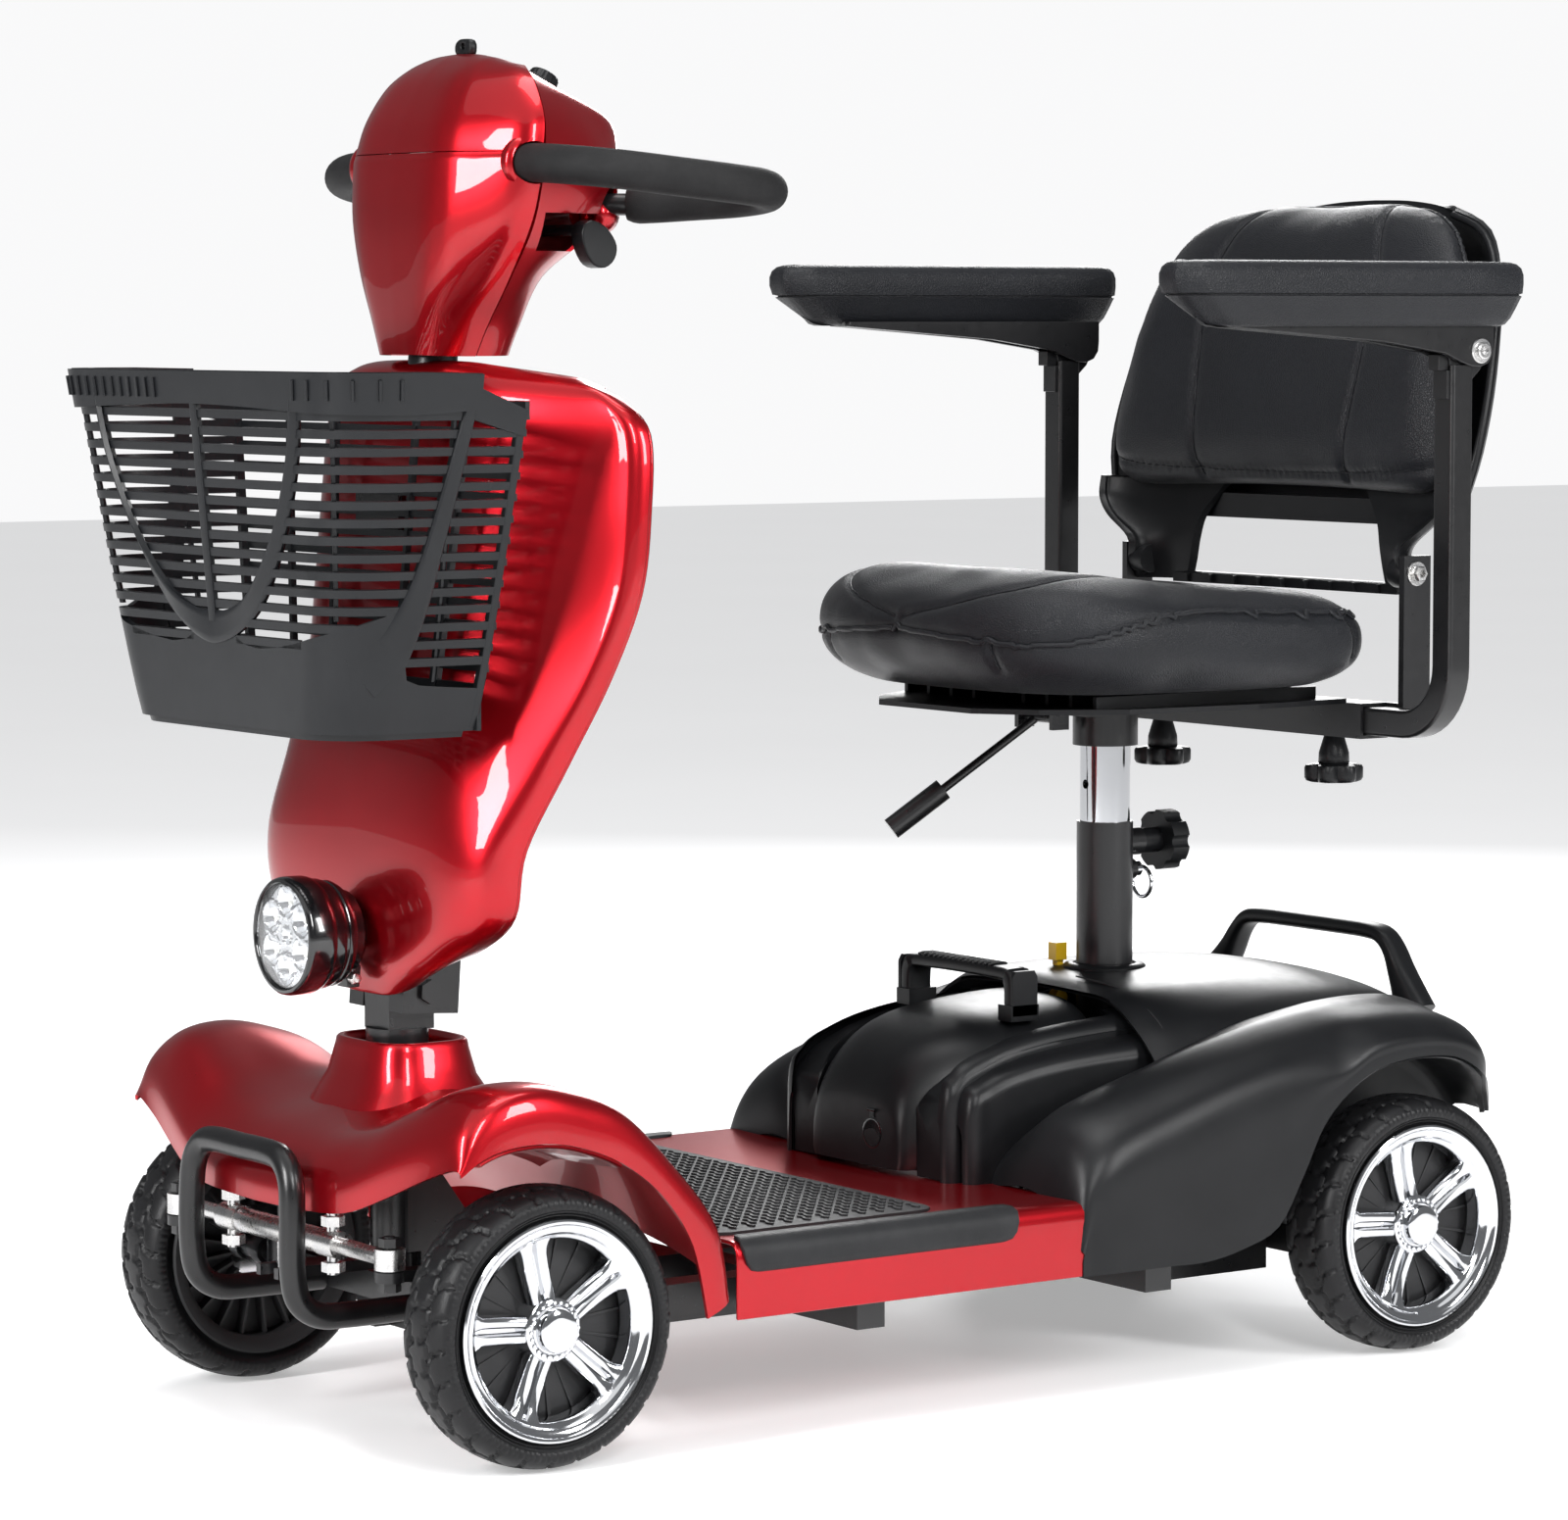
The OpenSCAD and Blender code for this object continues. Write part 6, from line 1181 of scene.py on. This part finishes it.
def plate_ring(P, th, n=4):
    """closed ring round a centre line of plan points, rounded at both ends"""
    P = crpath(P, n); T = np.gradient(P, axis=0); T /= np.linalg.norm(T, axis=1, keepdims=True); S = np.c_[-T[:, 1], T[:, 0]]
    a = P + S * th / 2; b = (P - S * th / 2)[::-1]; e1 = P[-1] + T[-1] * th * 0.45; e0 = P[0] - T[0] * th * 0.45
    return np.vstack([a, e1[None], b, e0[None]])


def build_back_shell():
    mb = MB(); mb.skin(dense(bs_rows, 4, 4), -4.0)
    # moulded rim along the edge of the shell
    G = dense(bs_rows, 4, 4)
    for sg in (-1, 1):
        E = G[:, -1].copy(); E[:, 0] *= sg; mb.tube(E, 3.0, 12)
    # hinge legs, wide under the cushion and narrow at the bolt
    secs = [(672, [(84, 466), (140, 462), (190, 452), (212, 442), (216, 436)], 7), (655, [(100, 462), (146, 458), (190, 448), (210, 438), (213, 432)], 8), (640, [(112, 458), (148, 452), (176, 443), (192, 434), (196, 428)], 9),
            (622, [(118, 456), (142, 450), (160, 441), (167, 434), (169, 428)], 10), (604, [(122, 456), (140, 452), (154, 445), (164, 437), (168.5, 430)], 10), (588, [(126, 456), (140, 454), (152, 449), (161, 443), (167, 437)], 9)]
    for sg in (-1, 1):
        R = [np.c_[q[:, 0] * sg, q[:, 1], np.full(len(q), z)] for z, P, th in secs for q in [plate_ring([(a, b) for a, b in P], th)]]
        mb.loft(np.array(crpath(R, 5)))
        # hinge boss and bolt
    mb2 = MB()
    for sg in (-1, 1):
        mb.lathe([(0, sg * 154), (11.4, sg * 154), (11.8, sg * 155), (11.8, sg * 169.6), (11.2, sg * 170.5), (0, sg * 170.5)], "x", 40, (0, 437, 604))
        mb2.lathe([(0, sg * 177.2), (9.5, sg * 177.2), (9.6, sg * 178.4), (9.2, sg * 178.8), (0, sg * 178.8)], "x", 40, (0, 437, 604))
        mb2.lathe([(0, sg * 178), (6.6, sg * 178), (6.6, sg * 182.6), (5.8, sg * 184), (3.4, sg * 184.2), (3.2, sg * 181), (0, sg * 181)], "x", 6, (0, 437, 604))
    # lower bridge with ribs, and upper bridge
    R = []
    for x in np.linspace(-140, 140, 29):
        t = 1 - abs(x) / 140; R.append([(x, 449 + 3 * t, 585.5), (x, 459 + 3 * t, 585.5), (x, 459 + 3 * t, 593), (x, 457 + 3 * t, 594.6), (x, 451 + 3 * t, 594.6), (x, 449 + 3 * t, 593)])
    mb.loft(R)
    for x in np.linspace(-120, 120, 9): mb.box((x - 1, 446.5, 586), (x + 1, 451, 593))
    mb.box((-190, 463, 640), (190, 474, 660))
    mb.make("back_shell_moulding", M["plastic"], "backrest", ("back_shell",), sharp=42)
    mb2.make("back_hinge_bolts", M["steel"], "backrest", (), sharp=30)


build_back_shell()


# ================================================================ armrests
def rsq(w, r, n=5):
    out = []
    for cx, cy, a0 in ((w - r, w - r, 0), (-w + r, w - r, 90), (-w + r, -w + r, 180), (w - r, -w + r, 270)):
        for k in range(n + 1):
            a = math.radians(a0 + 90 * k / n); out.append((cx + r * math.cos(a), cy + r * math.sin(a)))
    return out


def build_arms():
    for sg, side in ((1, "left"), (-1, "right")):
        bd, nd = "arm_" + side, "arm_tube_" + side
        mb = MB(); P = [(245, 413, 768), (245, 413, 700), (245, 413, 620), (245, 413, 545)]
        for a in range(0, 91, 9): P.append((198 + 47 * math.cos(math.radians(a)), 413, 535 - 47 * math.sin(math.radians(a))))
        P += [(150, 413, 488), (100, 413, 488), (62.2, 413, 488)]; P = np.array(P, float); P[:, 0] *= sg
        mb.sweep(P, rsq(11, 3.2), up=(0, 1, 0))
        mb.lathe([(4.6, sg * 237), (11.4, sg * 237), (12, sg * 237.8), (12, sg * 252.2), (11.4, sg * 253), (4.6, sg * 253)], "x", 48, (0, 428, 779))
        mb.prism([(402, 756), (424, 756), (433, 764), (437, 771), (428, 790.5), (418, 786), (402, 782)], 237.4 if sg > 0 else -252.6, 252.6 if sg > 0 else -237.4, "x")
        mb.box((sg * 245 - 6, 392, 764), (sg * 245 + 6, 403, 776)); mb.box((sg * 245 - 8, 399, 742), (sg * 245 + 8, 403, 764))
        mb.make("arm_tube_" + side + "_bent", M["frame"], bd, (nd,), bevel=0.7)
        # moulded pad in two halves with a parting groove
        lv = [(797.6, 13, 166, 449), (799.2, 10.4, 158, 452.5), (804, 8, 151, 456), (812, 4.6, 140, 458.6), (818.5, 2.0, 131, 460.4), (820.6, 1.0, 128.4, 461.2), (821.4, 2.6, 130, 459.8), (822.0, 2.6, 130, 459.8), (822.8, 0.7, 125.8, 461.6),
              (830, 0, 123.4, 462), (837, 0.2, 123.2, 462), (842, 1.6, 124.6, 461), (845.2, 4.2, 127.6, 458.4), (846.6, 7.6, 131.5, 455), (847.2, 12, 138, 449)]
        R = []
        for z, ins, y0, y1 in lv:
            w = 23 - ins; cf = 13.0; q = []; r = 5.0
            pts = [(w, y1 - 9), (w - 2.6, y1 - 2.6), (w - 9, y1), (-w + 9, y1), (-w + 2.6, y1 - 2.6), (-w, y1 - 9), (-w, (y0 + y1) / 2), (-w, y0 + 26), (-w + 1.2, y0 + 20), (-w + cf - 4, y0 + 3.6), (-w + cf, y0 + 0.6), (-w + cf + 3, y0),
                   (w - cf - 3, y0), (w - cf, y0 + 0.6), (w - cf + 4, y0 + 3.6), (w - 1.2, y0 + 20), (w, y0 + 26), (w, (y0 + y1) / 2)]
            R.append([(sg * 252 + x, y, z) for x, y in pts])
        R = np.array(R); D = []
        for ring in R:
            n = len(ring); rr = []
            for i in range(n):
                for t in (0, 0.25, 0.5, 0.75): rr.append(ring[i] * (1 - t) + ring[(i + 1) % n] * t)
            D.append(rr)
        mb = MB(); mb.loft(D); pad = mb.make("arm_pad_" + side + "_cushion", M["leather"], "pad_" + side, (), sharp=36)
        # tapered bracket, hinge ears and bolt
        mb = MB()
        for x in (sg * 245 - 14.2, sg * 245 + 8.3):
            mb.prism([(182, 801), (182, 797), (250, 792), (330, 786), (392, 777), (408, 770.5), (418, 767.4), (428, 766.6), (436, 769.6), (440.6, 776), (441.4, 784), (441.4, 801)], x, x + 5.9, "x")
        mb.prism([(180, 801), (182, 797), (250, 792.4), (330, 787), (372, 784), (372, 787), (250, 797), (190, 801)], sg * 245 - 9, sg * 245 + 9, "x")
        mb.make("arm_pad_" + side + "_bracket", M["frame"], "pad_" + side, ("arm_pad_" + side,), bevel=0.8)
        mb = MB()
        mb.lathe([(0, sg * 231), (4, sg * 231), (4, sg * 259.4), (0, sg * 259.4)], "x", 24, (0, 428, 779))
        mb.lathe([(4, sg * 259), (9.6, sg * 259), (9.8, sg * 260), (9.2, sg * 260.8), (6.8, sg * 261), (6.4, sg * 263.4), (5.4, sg * 264.2), (3.3, sg * 264.2), (3.1, sg * 261.4), (1, sg * 261.2), (1, sg * 259.4)], "x", 48, (0, 428, 779))
        mb.make("arm_bolt_" + side, M["steel"], "pad_" + side, (), sharp=30)


build_arms()


def knob(mb, at, axis, r, h, sgn=1, lobes=6):
    """lobed hand knob with a hub and domed face"""
    R = []
    for q, f, lb in ((0, 0.80, 0.10), (0.06, 0.95, 0.15), (0.2, 1.0, 0.17), (0.75, 1.0, 0.17), (0.92, 0.94, 0.15), (1.0, 0.80, 0.10), (1.03, 0.5, 0.02)):
        ring = []
        for t in np.linspace(0, 2 * np.pi, 96, endpoint=False):
            w = abs(math.cos(lobes * t / 2)) ** 1.2; rr = r * f * (1 - lb * 1.6 * (1 - w)); ring.append((rr * math.cos(t), rr * math.sin(t), sgn * q * h))
        R.append(ring)
    R = np.array(R)
    if axis == "y": R = R[:, :, [0, 2, 1]]
    mb.loft(R + np.array(at))


mb = MB(); knob(mb, (108, 413, 451), "z", 23.6, 14.4, -1); mb.lathe([(0, 450), (11, 450), (12.4, 452), (12, 460), (9, 470), (8, 473.4), (0, 473.4)], "z", 40, (108, 413, 0)); mb.make("width_knob_left", M["plastic"], "width_knob_left", ("arm_knob_left",), sharp=46)
mb = MB(); knob(mb, (-108, 413, 451), "z", 23.6, 14.4, -1); mb.lathe([(0, 450), (11, 450), (12.4, 452), (12, 460), (9, 470), (8, 473.4), (0, 473.4)], "z", 40, (-108, 413, 0)); mb.make("width_knob_right", M["plastic"], "width_knob_right", ("arm_knob_right",), sharp=46)

# ================================================================ carried CAD nodes
for nm, key in dict(chassis_frame="frame", front_axle_beam="frame", transaxle="alu", controller="alu", seat_post_tube="frame", battery_cells="dark",
                    knuckle_left="frame", knuckle_right="frame", steering_column="frame", mast="frame", seat_post="chrome", seat_frame="frame", seat_pan="plastic",
                    arm_tube_left="frame", arm_tube_right="frame", freewheel_lever="yellow", tie_rod="steel", ring_pin="chrome", arm_knob_left="plastic", arm_knob_right="plastic",
                    post_knob="plastic", swivel_lever="frame", back_shell="plastic", seat_cushion="leather", back_cushion="leather", arm_pad_left="leather", arm_pad_right="leather").items():
    if not N[nm].hide_render: paint(nm, key)


# ================================================================ stage
def build_stage():
    me = bpy.data.meshes.new("floor"); s = 16.0; n = 25; V = []; F = []
    for i in range(n):
        for j in range(n): V.append((-s + 2 * s * i / (n - 1), -s + 2 * s * j / (n - 1), -0.0006))
    for i in range(n - 1):
        for j in range(n - 1): F.append((i * n + j, (i + 1) * n + j, (i + 1) * n + j + 1, i * n + j + 1))
    me.from_pydata(V, [], F); fl = bpy.data.objects.new("floor", me); bpy.context.scene.collection.objects.link(fl)
    fm = material("floor_paint", (0.78, 0.78, 0.785), 0.75, color2=(0.80, 0.80, 0.805), var_scale=1.5, rough_var=0.05, bump=0.02, bump_scale=60, spec=0.2, emit=(1, 1, 1, 0.36))
    me.materials.append(fm)
    w = bpy.data.worlds.new("studio"); bpy.context.scene.world = w; w.use_nodes = True; nt = w.node_tree; nt.nodes.clear()
    out = nt.nodes.new("ShaderNodeOutputWorld"); a = nt.nodes.new("ShaderNodeBackground"); b = nt.nodes.new("ShaderNodeBackground")
    mx = nt.nodes.new("ShaderNodeMixShader"); lp = nt.nodes.new("ShaderNodeLightPath")
    a.inputs[0].default_value = (0.62, 0.63, 0.65, 1); a.inputs[1].default_value = 0.30
    b.inputs[0].default_value = (0.95, 0.95, 0.955, 1); b.inputs[1].default_value = 1.0
    nt.links.new(lp.outputs["Is Camera Ray"], mx.inputs[0]); nt.links.new(a.outputs[0], mx.inputs[1]); nt.links.new(b.outputs[0], mx.inputs[2]); nt.links.new(mx.outputs[0], out.inputs[0])
    area_light("key", (0.6, -3.9, 2.0), (0.0, -0.2, 0.55), (0.7, 1.9), 150)
    area_light("key_side", (3.3, -1.2, 2.5), (0.0, 0.0, 0.45), (0.5, 1.6), 75)
    area_light("side", (3.4, 1.3, 1.9), (0.0, 0.1, 0.45), (0.6, 1.7), 90)
    area_light("top", (0.2, 0.1, 3.4), (0.0, 0.0, 0.3), (1.6, 1.6), 42)
    area_light("back", (-2.6, 2.4, 1.9), (0.0, 0.0, 0.5), (1.0, 2.0), 60)
    sun = bpy.data.lights.new("fill", "SUN"); sun.energy = 0.85; sun.angle = 1.2; so = bpy.data.objects.new("fill", sun); bpy.context.scene.collection.objects.link(so); so.rotation_euler = (0.25, 0.15, 0)
    sc = bpy.context.scene
    sc.view_settings.view_transform = "Standard"; sc.view_settings.look = "None"


build_stage()
